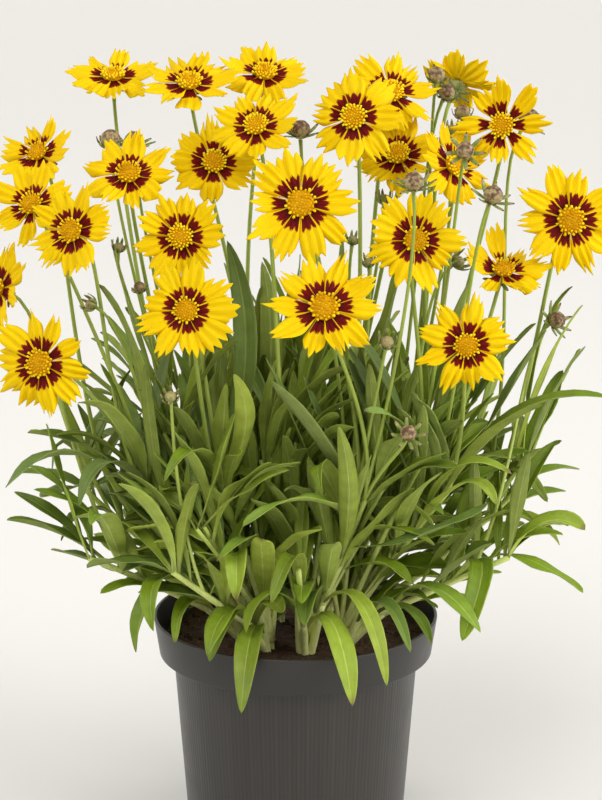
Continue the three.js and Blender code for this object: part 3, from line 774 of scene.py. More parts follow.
class Plant:
    """Grows the shoots in order: blooms, limbs, heads, stalks, leaves, side stems, more leaves."""

    BLOOM_OWNERS = 100
    PLATE_STEPS = 3
    PLATE_SPOKES = 6
    PLATE_SHARE = 0.98
    CALYX_BEHIND = 5
    STALK_BEHIND = 8
    HEAD_ROOM = 1.6
    HEAD_BEHIND = 0.95
    SHOWN_SEED = 7000
    RIM_SEED = 8000
    SEEDS_A_LEAF = 20

    def __init__(self) -> None:
        """Starts with bare shoots."""
        self.thicket = Thicket()
        self.shoots = [GrownShoot(number + 1) for number in range(len(SHOOT_BASES))]
        forks = {name: fork_of(shoot_of(name)) for name in LIMBS}
        self.limbs = {name: Bezier(forks[name], plan.bend, plan.tip) for name, plan in LIMBS.items()}

    def grow(self) -> list[GrownShoot]:
        """Grows everything.

        Returns:
            The shoots with all that they carry.
        """
        self._settle_blooms()
        self._settle_limbs()
        self._grow_stalks()
        for number, leaf in enumerate(SHOWN_LEAVES):
            self._grow_leaf(leaf, self.SHOWN_SEED + number, BEND_TRIES)
        self._grow_leaves_by(FILLER)
        self._grow_side_stems()
        for number, leaf in enumerate(RIM_LEAVES):
            self._grow_leaf(leaf, self.RIM_SEED + number, BEND_TRIES, SKIRT.ease)
        for rule in (SKIRT, CANOPY, UNDERGROWTH):
            self._grow_leaves_by(rule)
        return self.shoots

    def _shoot(self, limb: str) -> GrownShoot:
        """The shoot that a limb belongs to."""
        return self.shoots[shoot_of(limb) - 1]

    def _settle_blooms(self) -> None:
        """Gives each bloom a plate of room, cupped as its florets are."""
        for number, bloom in enumerate(BLOOMS, 1):
            plate = [Vector((0, 0, 1))]
            for step in range(1, self.PLATE_STEPS + 1):
                share = step / self.PLATE_STEPS
                radius = self.PLATE_SHARE * bloom.radius * share
                height = 1 + bloom.dish * bloom.radius * share**2
                count = self.PLATE_SPOKES * step
                angles = (math.tau * k / count for k in range(count))
                plate += [Vector((radius * math.cos(a), radius * math.sin(a), height)) for a in angles]
            matrix = placing(bloom)
            places = np.array([matrix @ point for point in plate])
            self.thicket.settle(self.BLOOM_OWNERS + number, takes(places, ROOM.bloom))

    def _settle_limbs(self) -> None:
        """Gives each limb its room."""
        for name, curve in self.limbs.items():
            self._shoot(name).limbs.append(curve)
            room = stalk_room(curve, ROOM.stem)
            room.roots[:] = True
            self.thicket.settle(shoot_of(name), room)

    def _grow_stalks(self) -> None:
        """Reserves each calyx and head, then finds a clear way for each stalk."""
        for bloom in BLOOMS:
            cone = np.array(bloom.centre) - self.CALYX_BEHIND * facing(bloom)
            self.thicket.settle(shoot_of(bloom.limb), takes(cone, ROOM.calyx, True))
        for head in HEADS:
            room = takes(np.array(head.centre), self.HEAD_ROOM * head.radius, True)
            self.thicket.settle(shoot_of(head.limb), room)
        for bloom in BLOOMS:
            self._grow_stalk(bloom, self.STALK_BEHIND)
        for head in HEADS:
            self._grow_stalk(head, self.HEAD_BEHIND * head.radius)

    def _grow_stalk(self, head: BloomPlan | HeadPlan, under: float) -> None:
        """Grows one stalk along the first clear way.

        Args:
            head: the bloom or head that it carries.
            under: how far behind the head's centre it ends.
        """
        shoot = self._shoot(head.limb)
        for turn in range(BEND_TRIES):
            curve = stalk_curve(head, self.limbs[head.limb], under, spiral_step(turn))
            room = stalk_room(curve, ROOM.stalk)
            away = np.linalg.norm(room.places - np.array(head.centre), axis=1) > ROOM.bloom + 2 * under
            if self.thicket.is_clear(shoot.number, room.kept(away)):
                self.thicket.settle(shoot.number, room)
                shoot.stalks.append(GrownStalk(curve, head))
                return
        raise RuntimeError(f"no clear way for the stalk to {head.centre}")

    def _grow_leaf(self, leaf: LeafPlan, seed: int, tries: int, ease: float = 1.0) -> bool:
        """Grows one leaf where there is room for it.

        Args:
            leaf: the leaf's plan.
            seed: picks the leaf's own tone and waves.
            tries: how many ways aside it may be bent.
            ease: a share of the usual room.

        Returns:
            True where the leaf has grown.
        """
        shoot = self._shoot(leaf.limb)
        for turn in range(tries):
            curve = leaf_curve(leaf, self.limbs[leaf.limb], spiral_step(turn))
            if self._takes_place(shoot.number, leaf_room(curve, leaf), ease):
                shoot.leaves.append(GrownLeaf(curve, leaf, seed))
                return True
        return False

    def _takes_place(self, owner: int, room: Room, ease: float) -> bool:
        """Settles a thing if it keeps off the pot and clear of what has grown.

        Args:
            owner: the shoot that it belongs to.
            room: the room that it would take.
            ease: a share of the usual room.

        Returns:
            True where it has settled.
        """
        is_free = is_over_pot(room.kept(~room.roots)) and self.thicket.is_clear(owner, room, ease)
        if is_free:
            self.thicket.settle(owner, room)
        return is_free

    def _grow_leaves_by(self, rule: LeafRule) -> None:
        """Grows leaves on every limb by a rule.

        Args:
            rule: how many, how large and which way.
        """
        for order, (limb, curve) in enumerate(self.limbs.items()):
            count = rule.on_tall if curve.controls[-1][2] > rule.tall_limb else rule.on_low
            for i in range(count):
                for attempt in range(rule.attempts):
                    seed = rule.first_seed + rule.limb_seeds * order + self.SEEDS_A_LEAF * i + attempt
                    leaf = drawn_leaf(rule, limb, curve, i / (count - 1), seed)
                    if is_within_reach(leaf, rule) and self._grow_leaf(leaf, seed, 1, rule.ease):
                        break

    def _grow_side_stems(self) -> None:
        """Grows each shoot's thinner stems, which then carry leaves as the limbs do."""
        rule = SIDE_STEMS
        for shoot in self.shoots:
            base = np.array(fork_of(shoot.number))
            for k in range(rule.on_shoot):
                draw = Draws(rule.first_seed + 10 * shoot.number + k)
                for _ in range(rule.attempts):
                    aside = math.radians(rule.wander * (2 * draw.next() - 1))
                    heading = math.atan2(base[1], base[0]) + aside
                    out = draw.between(*rule.spread) * np.array((math.cos(heading), math.sin(heading), 0))
                    up = np.array((0, 0, draw.between(*rule.rise) - base[2]))
                    curve = Bezier(base, base + rule.bulge * out + 0.5 * up, base + out + up)
                    if self._takes_place(shoot.number, stalk_room(curve, rule.room), rule.ease):
                        self.limbs[f"{shoot.number}-{k}"] = curve
                        shoot.side_stems.append(curve)
                        break


def drawn_leaf(rule: LeafRule, limb: str, curve: Bezier, height: float, seed: int) -> LeafPlan:
    """A leaf by a rule.

    Args:
        rule: how large it is and which way it grows.
        limb: the name of the limb that it grows on.
        curve: that limb's curve.
        height: where between the rule's lowest and highest leaf, from 0 to 1.
        seed: picks the leaf's draws.

    Returns:
        The leaf's plan.
    """
    draw = Draws(seed)
    low, high = rule.lowest, rule.highest
    at = mix(low.at, high.at, height)
    start = curve.point(at)
    wander = math.radians(mix(low.wander, high.wander, height))
    heading = math.atan2(start[1], start[0]) + wander * (2 * draw.next() - 1)
    flat = (math.cos(heading), math.sin(heading))
    length = mix(low.length, high.length, height) * draw.between(*rule.lengths)

    def onward(low_rise: Pair, high_rise: Pair) -> Array:
        """A unit vector on the leaf's heading, at a drawn rise."""
        rise = math.radians(draw.between(*(mix(*ends, height) for ends in zip(low_rise, high_rise))))
        return np.array((*(math.cos(rise) * part for part in flat), math.sin(rise)))

    over = start + onward(low.start_rise, high.start_rise) * length * rule.parts[0]
    tip = over + onward(low.end_rise, high.end_rise) * length * rule.parts[1]
    width = mix(low.width, high.width, height) * draw.between(*rule.widths)
    roll = rule.roll * (2 * draw.next() - 1)
    return LeafPlan(limb, at, tuple(over), tuple(tip), width, roll)


def is_within_reach(leaf: LeafPlan, rule: LeafRule) -> bool:
    """Whether a leaf's tip is within the plant's spread, high enough, and off the stems bare in front.

    Args:
        leaf: the leaf's plan.
        rule: the rule that drew it.

    Returns:
        True where the tip is within reach.
    """
    low, high = rule.reach_x
    middle = (low + high) / 2
    x, y, z = leaf.tip
    least = POT.height + rule.least_slope * max(0.0, math.hypot(x, y) - POT.rim_radius)
    is_inside = math.hypot((x - middle) / (high - middle), y / rule.reach_y) < 1
    is_bare = abs(math.degrees(math.atan2(x, -y))) < rule.bare_arc and z < rule.bare_height
    return is_inside and least < z < rule.reach_z and not is_bare


# ---- Finishes ----

# A pattern's scale counts its cells in a metre on Object coordinates, so 1000 gives grains of a
# millimetre. On a UV map it counts them along the sheet and across it.

Adder = Callable[..., Node]

# Light goes a little way into a petal and comes out yellow.
THIN_PETAL = {"Subsurface Weight": 0.3, "Subsurface Radius": (1.0, 0.75, 0.1), "Subsurface Scale": 0.0012}


def linear(colour: str) -> tuple[float, float, float, float]:
    """An sRGB hex colour as linear red, green, blue and alpha."""
    parts = [int(colour[i : i + 2], 16) / 255 for i in (1, 3, 5)]
    return (*(c / 12.92 if c <= 0.04045 else ((c + 0.055) / 1.055) ** 2.4 for c in parts), 1.0)


def span(
    value: Node | NodeSocket, low: float = 0, high: float = 1, to_low: float = 0, to_high: float = 1
) -> dict:
    """A value, the ends of its range and those that they are mapped to, as a node's inputs."""
    return {"Value": value, "From Min": low, "From Max": high, "To Min": to_low, "To Max": to_high}


def add_node(
    tree: NodeTree, kind: str, inputs: dict | Sequence = (), stops: dict | None = None, **settings: object
) -> Node:
    """Adds a node with its settings and links.

    Args:
        tree: the node tree.
        kind: the node's type, without its ShaderNode prefix, and its operation if it has one.
        inputs: what goes into it, in order or by the inputs' names and numbers: a value, a hex
            colour, an output socket, or a node that stands for its first output.
        stops: a ramp's hex colours, by their places from 0 to 1.
        settings: the node's own properties.

    Returns:
        The new node.
    """
    kind, _, operation = kind.partition(" ")
    node = tree.nodes.new("ShaderNode" + kind)
    if operation:
        node.operation = operation
    for name, value in settings.items():
        setattr(node, name, value)
    for name, value in inputs.items() if isinstance(inputs, dict) else enumerate(inputs):
        source = value.outputs[0] if isinstance(value, Node) else value
        if isinstance(source, NodeSocket):
            tree.links.new(source, node.inputs[name])
        else:
            node.inputs[name].default_value = linear(source) if isinstance(source, str) else source
    for place, colour in (stops or {}).items():
        points = node.color_ramp.elements
        point = points[0] if place == 0 else points[-1] if place == 1 else points.new(place)
        point.color = linear(colour)
    return node


class Finish:
    """A surface finish, whose nodes end in one principled shader."""

    name = "finish"

    def build(self) -> Material:
        """Makes the material, once.

        Returns:
            The finish as a material, the same one each time.
        """
        known = bpy.data.materials.get(self.name)
        if known:
            return known
        material = bpy.data.materials.new(self.name)
        material.use_nodes = True
        material.node_tree.nodes.clear()
        node = partial(add_node, material.node_tree)
        node("OutputMaterial", {"Surface": node("BsdfPrincipled", self.paint(node))})
        return material

    def paint(self, node: Adder) -> dict:
        """Adds the finish's nodes and returns what goes into the shader."""
        raise NotImplementedError


@dataclass(frozen=True)
class RayFlorets(Finish):
    """Upper face of a living ray floret: satiny yellow, fine lengthwise veins and a lobed maroon base.

    The UV map holds the distance from the bloom's middle as a share of its radius, and the way across.
    A petal has about 22 veins, just under a millimetre apart. The blotch has painted shade near the disc.
    """

    name: str = "ray_floret_satin"
    yellow: str = "#EED200"
    deep_yellow: str = "#E8B600"
    maroon: str = "#7A0A0C"
    maroon_in_shade: str = "#4A0506"
    lobes: float = 3
    lobe_sharpness: float = 0.55
    blotch_notch: float = 0.4
    blotch_lobe: float = 0.09
    blotch_ragged: float = 0.11
    blotch_margin: float = 0.42
    vein_stretch: float = 2.2
    vein_count: float = 22

    def paint(self, node: Adder) -> dict:
        """Paints the maroon blotch, darkened near the disc with painted shade, over streaked yellow.

        Args:
            node: adds a node to the material.

        Returns:
            What goes into the shader.
        """
        uv = node("UVMap", uv_map="UVMap")
        along, across, _ = node("SeparateXYZ", (uv,)).outputs
        own = node("Attribute", attribute_name="own").outputs["Fac"]
        drawn_out = node("Mapping", {"Vector": uv, "Scale": (self.vein_stretch, self.vein_count, 1)})
        grain = {"Vector": drawn_out, "W": own, "Scale": 1, "Detail": 3}
        veins = node("TexNoise", grain, noise_dimensions="4D")
        side = node("Math SUBTRACT", (across, 0.5))
        phase = node("Math MULTIPLY", (side, self.lobes * math.pi))
        wave = node("Math COSINE", (phase,))
        bulge = node("Math ABSOLUTE", (wave,))
        lobe = node("Math POWER", (bulge, self.lobe_sharpness))
        reach = node("Math MULTIPLY_ADD", (lobe, self.blotch_lobe, self.blotch_notch))
        fringe = self.blotch_ragged
        ragged = node("MapRange", span(veins, to_low=-fringe, to_high=fringe))
        edge = node("Math ADD", (reach, ragged))
        aside = node("Math ABSOLUTE", (side,))
        margin = node("MapRange", span(aside, 0.37, 0.48))
        shorter = node("Math MULTIPLY_ADD", (margin, -self.blotch_margin, edge))
        inside = node("Math SUBTRACT", (shorter, along))
        mask = node("MapRange", span(inside, -0.008, 0.014))
        petal = node("MixRGB", (veins, self.yellow, self.deep_yellow))
        # Painted shade: the blotch darkens towards the disc.
        depth = node("MapRange", span(along, 0.25, 0.5))
        blotch = node("MixRGB", (depth, self.maroon_in_shade, self.maroon))
        colour = node("MixRGB", (mask, petal, blotch))
        relief = node("Bump", {"Height": veins, "Strength": 0.6, "Distance": 0.0004})
        surface = {"Base Color": colour, "Normal": relief, "Roughness": 0.6, "Specular IOR Level": 0.1}
        return {**surface, **THIN_PETAL}


@dataclass(frozen=True)
class RayReverse(Finish):
    """Under face of a ray floret: plain matte yellow, a little paler, with the same veins."""

    name: str = "ray_floret_reverse"
    yellow: str = "#F2D40C"
    deep_yellow: str = "#E8B806"
    vein_stretch: float = 2
    vein_count: float = 22

    def paint(self, node: Adder) -> dict:
        """Paints lengthwise veins on plain yellow.

        Args:
            node: adds a node to the material.

        Returns:
            What goes into the shader.
        """
        uv = node("UVMap", uv_map="UVMap")
        drawn_out = node("Mapping", {"Vector": uv, "Scale": (self.vein_stretch, self.vein_count, 1)})
        veins = node("TexNoise", {"Vector": drawn_out, "Scale": 1, "Detail": 3})
        colour = node("MixRGB", (veins, self.yellow, self.deep_yellow))
        return {"Base Color": colour, "Roughness": 0.7, "Specular IOR Level": 0.1, **THIN_PETAL}


@dataclass(frozen=True)
class DiscFlorets(Finish):
    """Disc florets: velvety, deep gold while closed in the middle, bright yellow where open at the rim.

    The attribute says how far each floret has opened. Their pollen gives a grain of 0.7 mm.
    """

    name: str = "disc_floret_velvet"
    closed: str = "#C89000"
    opening: str = "#F4C600"
    opened: str = "#FFE820"
    opening_place: float = 0.55
    grain: float = 1400

    def paint(self, node: Adder) -> dict:
        """Colours each floret by how far it has opened.

        Args:
            node: adds a node to the material.

        Returns:
            What goes into the shader.
        """
        ripe = node("Attribute", attribute_name="own").outputs["Fac"]
        stops = {0: self.closed, self.opening_place: self.opening, 1: self.opened}
        colour = node("ValToRGB", (ripe,), stops)
        place = node("TexCoord").outputs["Object"]
        grains = node("TexNoise", {"Vector": place, "Scale": self.grain, "Detail": 2})
        relief = node("Bump", {"Height": grains, "Strength": 0.4, "Distance": 0.0003})
        return {"Base Color": colour, "Normal": relief, "Roughness": 0.85, "Specular IOR Level": 0.15}


@dataclass(frozen=True)
class LeafFace(Finish):
    """Upper face of a living leaf: a soft waxy sheen, blue-green to yellow-green leaf by leaf, pale veins.

    The UV map holds the way along and the way across. The midrib and a pair of side veins run lengthwise.
    Mottling of 11 mm and patches of 8 mm break up the green, and a tenth of the leaves have a dry tip.
    """

    name: str = "leaf_upper_face"
    blue_green: str = "#7C9646"
    mid_green: str = "#7A941A"
    yellow_green: str = "#8EA036"
    vein: str = "#B8C664"
    roughness: float = 0.45
    dry_tip: str = "#6E4A3A"
    dimmest: float = 0.62
    brightest: float = 1.15
    mottle: float = 90
    patch: float = 130
    side_vein: float = 0.24
    lot_spread: float = 7.31
    driest_lot: float = 0.9

    def paint(self, node: Adder) -> dict:
        """Paints the leaf's own tone, its mottling, its veins, its pale edge, and painted shade higher up.

        Args:
            node: adds a node to the material.

        Returns:
            What goes into the shader.
        """
        uv = node("UVMap", uv_map="UVMap")
        along, across, _ = node("SeparateXYZ", (uv,)).outputs
        own = node("Attribute", attribute_name="own").outputs["Fac"]
        place = node("TexCoord").outputs["Object"]
        height = node("SeparateXYZ", (place,)).outputs[2]

        # The green: the leaf's own tone, yellower near the soil, and mottled.
        mottle = node("TexNoise", {"Vector": place, "Scale": self.mottle, "Detail": 3})
        shift = node("MapRange", span(mottle, to_low=-0.22, to_high=0.22))
        age = node("MapRange", span(height, 0.12, 0.34, 0.1, -0.1))
        own_tone = node("Math ADD", (own, age))
        tone = node("Math ADD", (own_tone, shift), use_clamp=True)
        green = node("ValToRGB", (tone,), {0: self.blue_green, 0.5: self.mid_green, 1: self.yellow_green})

        # The pale midrib, side veins, edge and foot.
        offset = node("Math SUBTRACT", (across, 0.5))
        side = node("Math ABSOLUTE", (offset,))
        rib = node("MapRange", span(side, 0.01, 0.05, 0.6, 0))
        beside = node("Math SUBTRACT", (side, self.side_vein))
        near = node("Math ABSOLUTE", (beside,))
        vein = node("MapRange", span(near, 0, 0.03, 0.08, 0))
        edge = node("MapRange", span(side, 0.455, 0.5, 0, 0.3))
        foot = node("MapRange", span(along, 0.02, 0.2, 0.6, 0))
        veins = node("Math MAXIMUM", (rib, vein))
        margins = node("Math MAXIMUM", (edge, foot))
        pale = node("Math MAXIMUM", (veins, margins))
        veined = node("MixRGB", (pale, green, self.vein))

        # A lot that falls to each leaf makes it light or dark, and dries some of the tips.
        spread = node("Math MULTIPLY", (own, self.lot_spread))
        lot = node("Math FRACT", (spread,))
        light = node("MapRange", span(lot, to_low=self.dimmest, to_high=self.brightest))
        is_dry = node("Math GREATER_THAN", (lot, self.driest_lot))
        end = node("MapRange", span(along, 0.93, 1, 0, 0.8))
        dried = node("Math MULTIPLY", (end, is_dry))
        tipped = node("MixRGB", (dried, veined, self.dry_tip))

        # Patches, and painted shade that darkens the leaves higher up.
        patches = node("TexNoise", {"Vector": place, "Scale": self.patch, "Detail": 4})
        patch = node("MapRange", span(patches, to_low=0.68, to_high=1.32))
        # Painted shade: from 0.12 m to 0.36 m up, leaves darken from 1.06 to 0.85 of their colour.
        painted_shade_higher = node("MapRange", span(height, 0.12, 0.36, 1.06, 0.85))
        spots = node("Math MULTIPLY", (light, patch))
        shade = node("Math MULTIPLY", (spots, painted_shade_higher))
        colour = node("VectorMath SCALE", {0: tipped, "Scale": shade})

        grain_place = node("Mapping", {"Vector": uv, "Scale": (22, 16, 1)})
        grain = node("TexNoise", {"Vector": grain_place, "Scale": 1, "Detail": 3})
        groove = node("Math SUBTRACT", (grain, veins))
        relief = node("Bump", {"Height": groove, "Strength": 0.5, "Distance": 0.0009})
        surface = {"Base Color": colour, "Normal": relief}
        return {**surface, "Roughness": self.roughness, "Specular IOR Level": 0.27}


@dataclass(frozen=True)
class StemSkin(Finish):
    """Skin of stems and stalks: smooth, cream-green at the soil, yellow-green above, finely streaked.

    The streaks are about a millimetre wide and fourteen long. The cream foot is partly painted light.
    """

    name: str = "stem_skin"
    crown: str = "#F2F6A4"
    low: str = "#BACA60"
    high: str = "#93A53A"
    crown_height: float = 0.125
    low_height: float = 0.2
    high_height: float = 0.36
    streak: float = 900
    streak_stretch: float = 0.08

    def paint(self, node: Adder) -> dict:
        """Paints the change of colour with height, and the streaks.

        Args:
            node: adds a node to the material.

        Returns:
            What goes into the shader.
        """
        place = node("TexCoord").outputs["Object"]
        height = node("SeparateXYZ", (place,)).outputs[2]
        lower = node("MapRange", span(height, self.crown_height, self.low_height))
        upper = node("MapRange", span(height, self.low_height, self.high_height))
        # The crown's cream is partly the stems' own pale foot and partly painted light under the shading
        # leaves.
        foot = node("MixRGB", (lower, self.crown, self.low))
        body = node("MixRGB", (upper, foot, self.high))
        stretched = node("Mapping", {"Vector": place, "Scale": (1, 1, self.streak_stretch)})
        streaks = node("TexNoise", {"Vector": stretched, "Scale": self.streak, "Detail": 2})
        shade = node("MapRange", span(streaks, to_low=0.72, to_high=1.2))
        colour = node("VectorMath SCALE", {0: body, "Scale": shade})
        relief = node("Bump", {"Height": streaks, "Strength": 0.3, "Distance": 0.0003})
        return {"Base Color": colour, "Normal": relief, "Roughness": 0.5}


@dataclass(frozen=True)
class BractSkin(Finish):
    """Sepals, buds and spent heads: fleshy green that dries to a mottle of cream and brown.

    The attribute says how dry a place is. The mottle is 2.4 mm coarse and the streaks 1.4 mm.
    """

    name: str = "bract_skin"
    green: str = "#76893A"
    cream: str = "#AA9868"
    dry: str = "#6C4B33"
    tip: str = "#35301F"
    mottle: float = 420
    streak: float = 700

    def paint(self, node: Adder) -> dict:
        """Paints green to dry by the attribute, with streaks.

        Args:
            node: adds a node to the material.

        Returns:
            What goes into the shader.
        """
        dryness = node("Attribute", attribute_name="own").outputs["Fac"]
        place = node("TexCoord").outputs["Object"]
        mottle = node("TexNoise", {"Vector": place, "Scale": self.mottle, "Detail": 2})
        shift = node("MapRange", span(mottle, to_low=-0.7, to_high=0.7))
        tone = node("Math ADD", (dryness, shift), use_clamp=True)
        skin = node("ValToRGB", (tone,), {0: self.green, 0.35: self.cream, 0.65: self.dry, 1: self.tip})
        streaks = node("TexNoise", {"Vector": place, "Scale": self.streak, "Detail": 3})
        shade = node("MapRange", span(streaks, to_low=0.55, to_high=1.45))
        colour = node("VectorMath SCALE", {0: skin, "Scale": shade})
        relief = node("Bump", {"Height": streaks, "Strength": 0.5, "Distance": 0.0004})
        return {"Base Color": colour, "Normal": relief, "Roughness": 0.65}


@dataclass(frozen=True)
class MouldedPolypropylene(Finish):
    """Injection-moulded dark grey polypropylene: satin, with fine upright lines round the wall.

    The lines are 3 mm apart. Dust in clouds of 17 mm dulls the shine here and there.
    """

    name: str = "polypropylene_moulded"
    grey: str = "#262320"
    pale_grey: str = "#35312C"
    flutes: int = 170
    streaks_per_flute: float = 0.7
    streaks_upward: float = 5
    flute_share: float = 0.2
    collar_foot: float = 0.112
    roughness: float = 0.3
    dustiness: float = 0.16
    dust: float = 60

    def paint(self, node: Adder) -> dict:
        """Paints uneven upright streaks by the angle round the pot's axis, fainter on its collar.

        Args:
            node: adds a node to the material.

        Returns:
            What goes into the shader.
        """
        place = node("TexCoord").outputs["Object"]
        turn = node("TexGradient", {"Vector": place}, gradient_type="RADIAL").outputs["Fac"]
        height = node("SeparateXYZ", (place,)).outputs[2]
        turns = node("Math MULTIPLY", (turn, math.tau * self.flutes))
        wave = node("Math SINE", (turns,))
        around = node("Math MULTIPLY", (turn, self.streaks_per_flute * self.flutes))
        upward = node("Math MULTIPLY", (height, self.streaks_upward))
        unrolled = node("CombineXYZ", (around, upward))
        streaks = node("TexNoise", {"Vector": unrolled, "Scale": 1, "Detail": 2})
        fluted = node("Math MULTIPLY_ADD", (wave, self.flute_share, streaks))
        foot = self.collar_foot
        below = node("MapRange", span(height, foot - 0.001, foot, 1, 0.2))
        ribs = node("Math MULTIPLY", (fluted, below))
        sharp = node("MapRange", span(ribs, 0.2, 0.9))
        colour = node("MixRGB", (sharp, self.grey, self.pale_grey))
        dust = node("TexNoise", {"Vector": place, "Scale": self.dust, "Detail": 4})
        dullest = self.roughness + self.dustiness
        rough = node("MapRange", span(dust, to_low=self.roughness, to_high=dullest))
        relief = node("Bump", {"Height": ribs, "Strength": 0.3, "Distance": 0.0005})
        return {"Base Color": colour, "Roughness": rough, "Normal": relief}


@dataclass(frozen=True)
class PottingSoil(Finish):
    """Peat-based potting soil: matte, nearly black-brown, with 4 mm crumbs and 2 mm red-brown fibres."""

    name: str = "peat_potting_soil"
    peat: str = "#271910"
    crumb: str = "#523621"
    fibre: str = "#8A5634"
    crumbs: float = 260
    fibres: float = 420

    def paint(self, node: Adder) -> dict:
        """Paints crumbs and fibres of a few millimetres.

        Args:
            node: adds a node to the material.

        Returns:
            What goes into the shader.
        """
        place = node("TexCoord").outputs["Object"]
        crumbs = node("TexNoise", {"Vector": place, "Scale": self.crumbs, "Detail": 5})
        fibres = node("TexNoise", {"Vector": place, "Scale": self.fibres, "Detail": 3, "Distortion": 2})
        strands = node("MapRange", span(fibres, 0.58, 0.7))
        ground = node("MixRGB", (crumbs, self.peat, self.crumb))
        colour = node("MixRGB", (strands, ground, self.fibre))
        relief = node("Bump", {"Height": crumbs, "Strength": 0.9, "Distance": 0.002})
        return {"Base Color": colour, "Normal": relief, "Roughness": 0.95}


@dataclass(frozen=True)
class StudioPaper(Finish):
    """Matte seamless studio paper, a warm near-white."""

    name: str = "seamless_paper"
    white: str = "#E4E2DE"

    def paint(self, node: Adder) -> dict:
        """Paints a plain colour with a trace of unevenness, half a metre wide.

        Args:
            node: adds a node to the material.

        Returns:
            What goes into the shader.
        """
        place = node("TexCoord").outputs["Object"]
        cloud = node("TexNoise", {"Vector": place, "Scale": 2})
        shade = node("MapRange", span(cloud, to_low=0.985))
        colour = node("VectorMath SCALE", {0: linear(self.white)[:3], "Scale": shade})
        return {"Base Color": colour, "Roughness": 0.9}


# ---- Meshes ----


def to_object(bm: BMesh, name: str, *finishes: Finish) -> Object:
    """Turns a bmesh in millimetres into an object in metres.

    Args:
        bm: the mesh, which is freed.
        name: the object's name.
        finishes: its materials, in the order of its faces' material numbers. With any, it is shaded smooth.

    Returns:
        The object, at the origin and in the scene.
    """
    bmesh.ops.scale(bm, vec=(METRES,) * 3, verts=bm.verts)
    mesh = bpy.data.meshes.new(name)
    bm.to_mesh(mesh)
    bm.free()
    mesh.polygons.foreach_set("use_smooth", [bool(finishes)] * len(mesh.polygons))
    for finish in finishes:
        mesh.materials.append(finish.build())
    made = bpy.data.objects.new(name, mesh)
    bpy.context.scene.collection.objects.link(made)
    return made


def finish_piece(bm: BMesh, name: str, slot: str, node: str, *finishes: Finish) -> Object:
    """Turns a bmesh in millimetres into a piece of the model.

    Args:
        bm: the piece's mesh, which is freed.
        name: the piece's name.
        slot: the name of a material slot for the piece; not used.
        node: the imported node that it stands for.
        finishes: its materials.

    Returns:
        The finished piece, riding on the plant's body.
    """
    piece = to_object(bm, name, *finishes)
    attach(piece, BODY)
    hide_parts(node)
    LOG.info("%s: %d faces", name, len(piece.data.polygons))
    return piece


def give_thickness(piece: Object, thickness: float, under_finish: int = 1) -> None:
    """Gives a piece made of thin sheets its thickness, with another finish underneath.

    Args:
        piece: the piece.
        thickness: in millimetres.
        under_finish: how many materials further on the under face's finish is.
    """
    shell = piece.modifiers.new("thickness", "SOLIDIFY")
    shell.thickness = thickness * METRES
    shell.offset = -1
    shell.material_offset = under_finish
    shell.material_offset_rim = 0
    shell.use_quality_normals = True


def own_layer(bm: BMesh) -> BMLayerItem:
    """The layer that keeps a value of its own for each point, which its finish reads."""
    layers = bm.verts.layers.float
    return layers.get("own") or layers.new("own")


def shaped_sheet(
    bm: BMesh, along: int, across: int, shape: Callable[[Array, Array], Sheet], own: float
) -> None:
    """Adds a grid and moves its points into a thin sheet such as a leaf or a floret.

    Args:
        bm: the mesh to add to.
        along: faces along the sheet.
        across: faces across it.
        shape: from shares along (0 to 1) and across (-1 to 1), gives points, and both UV values.
        own: the sheet's own value, kept as an attribute.
    """
    uv = bm.loops.layers.uv.get("UVMap") or bm.loops.layers.uv.new("UVMap")
    layer = own_layer(bm)
    verts = bmesh.ops.create_grid(bm, x_segments=along, y_segments=across, size=1)["verts"]
    corners = np.array([vert.co for vert in verts])
    places, along_uv, across_uv = shape((corners[:, 0] + 1) / 2, corners[:, 1])
    map_of = {}
    for vert, place, u, v in zip(verts, places, along_uv, across_uv):
        vert.co = place
        vert[layer] = own
        map_of[vert] = (u, v)
    for face in {face for vert in verts for face in vert.link_faces}:
        for loop in face.loops:
            loop[uv].uv = map_of[loop.vert]


def spun(bm: BMesh, profile: Iterable[Pair], steps: int, weld: float = 1e-4) -> list[BMVert]:
    """Spins a profile round +Z into a closed body.

    Args:
        bm: the mesh to add to.
        profile: radii and heights, from the axis below to the axis above.
        steps: how many steps the full turn takes.
        weld: how close points of the axis are merged.

    Returns:
        The body's points.
    """
    known = set(bm.verts)
    verts = [bm.verts.new((r, 0, z)) for r, z in profile]
    edges = [bm.edges.new(pair) for pair in zip(verts, verts[1:])]
    turn = {"cent": (0, 0, 0), "axis": (0, 0, 1), "dvec": (0, 0, 0), "angle": math.tau, "steps": steps}
    bmesh.ops.spin(bm, geom=verts + edges, use_merge=True, use_duplicate=False, **turn)
    made = [vert for vert in bm.verts if vert not in known]
    bmesh.ops.remove_doubles(bm, verts=made, dist=weld)
    made = [vert for vert in bm.verts if vert not in known]
    bmesh.ops.recalc_face_normals(bm, faces=list({face for vert in made for face in vert.link_faces}))
    return made


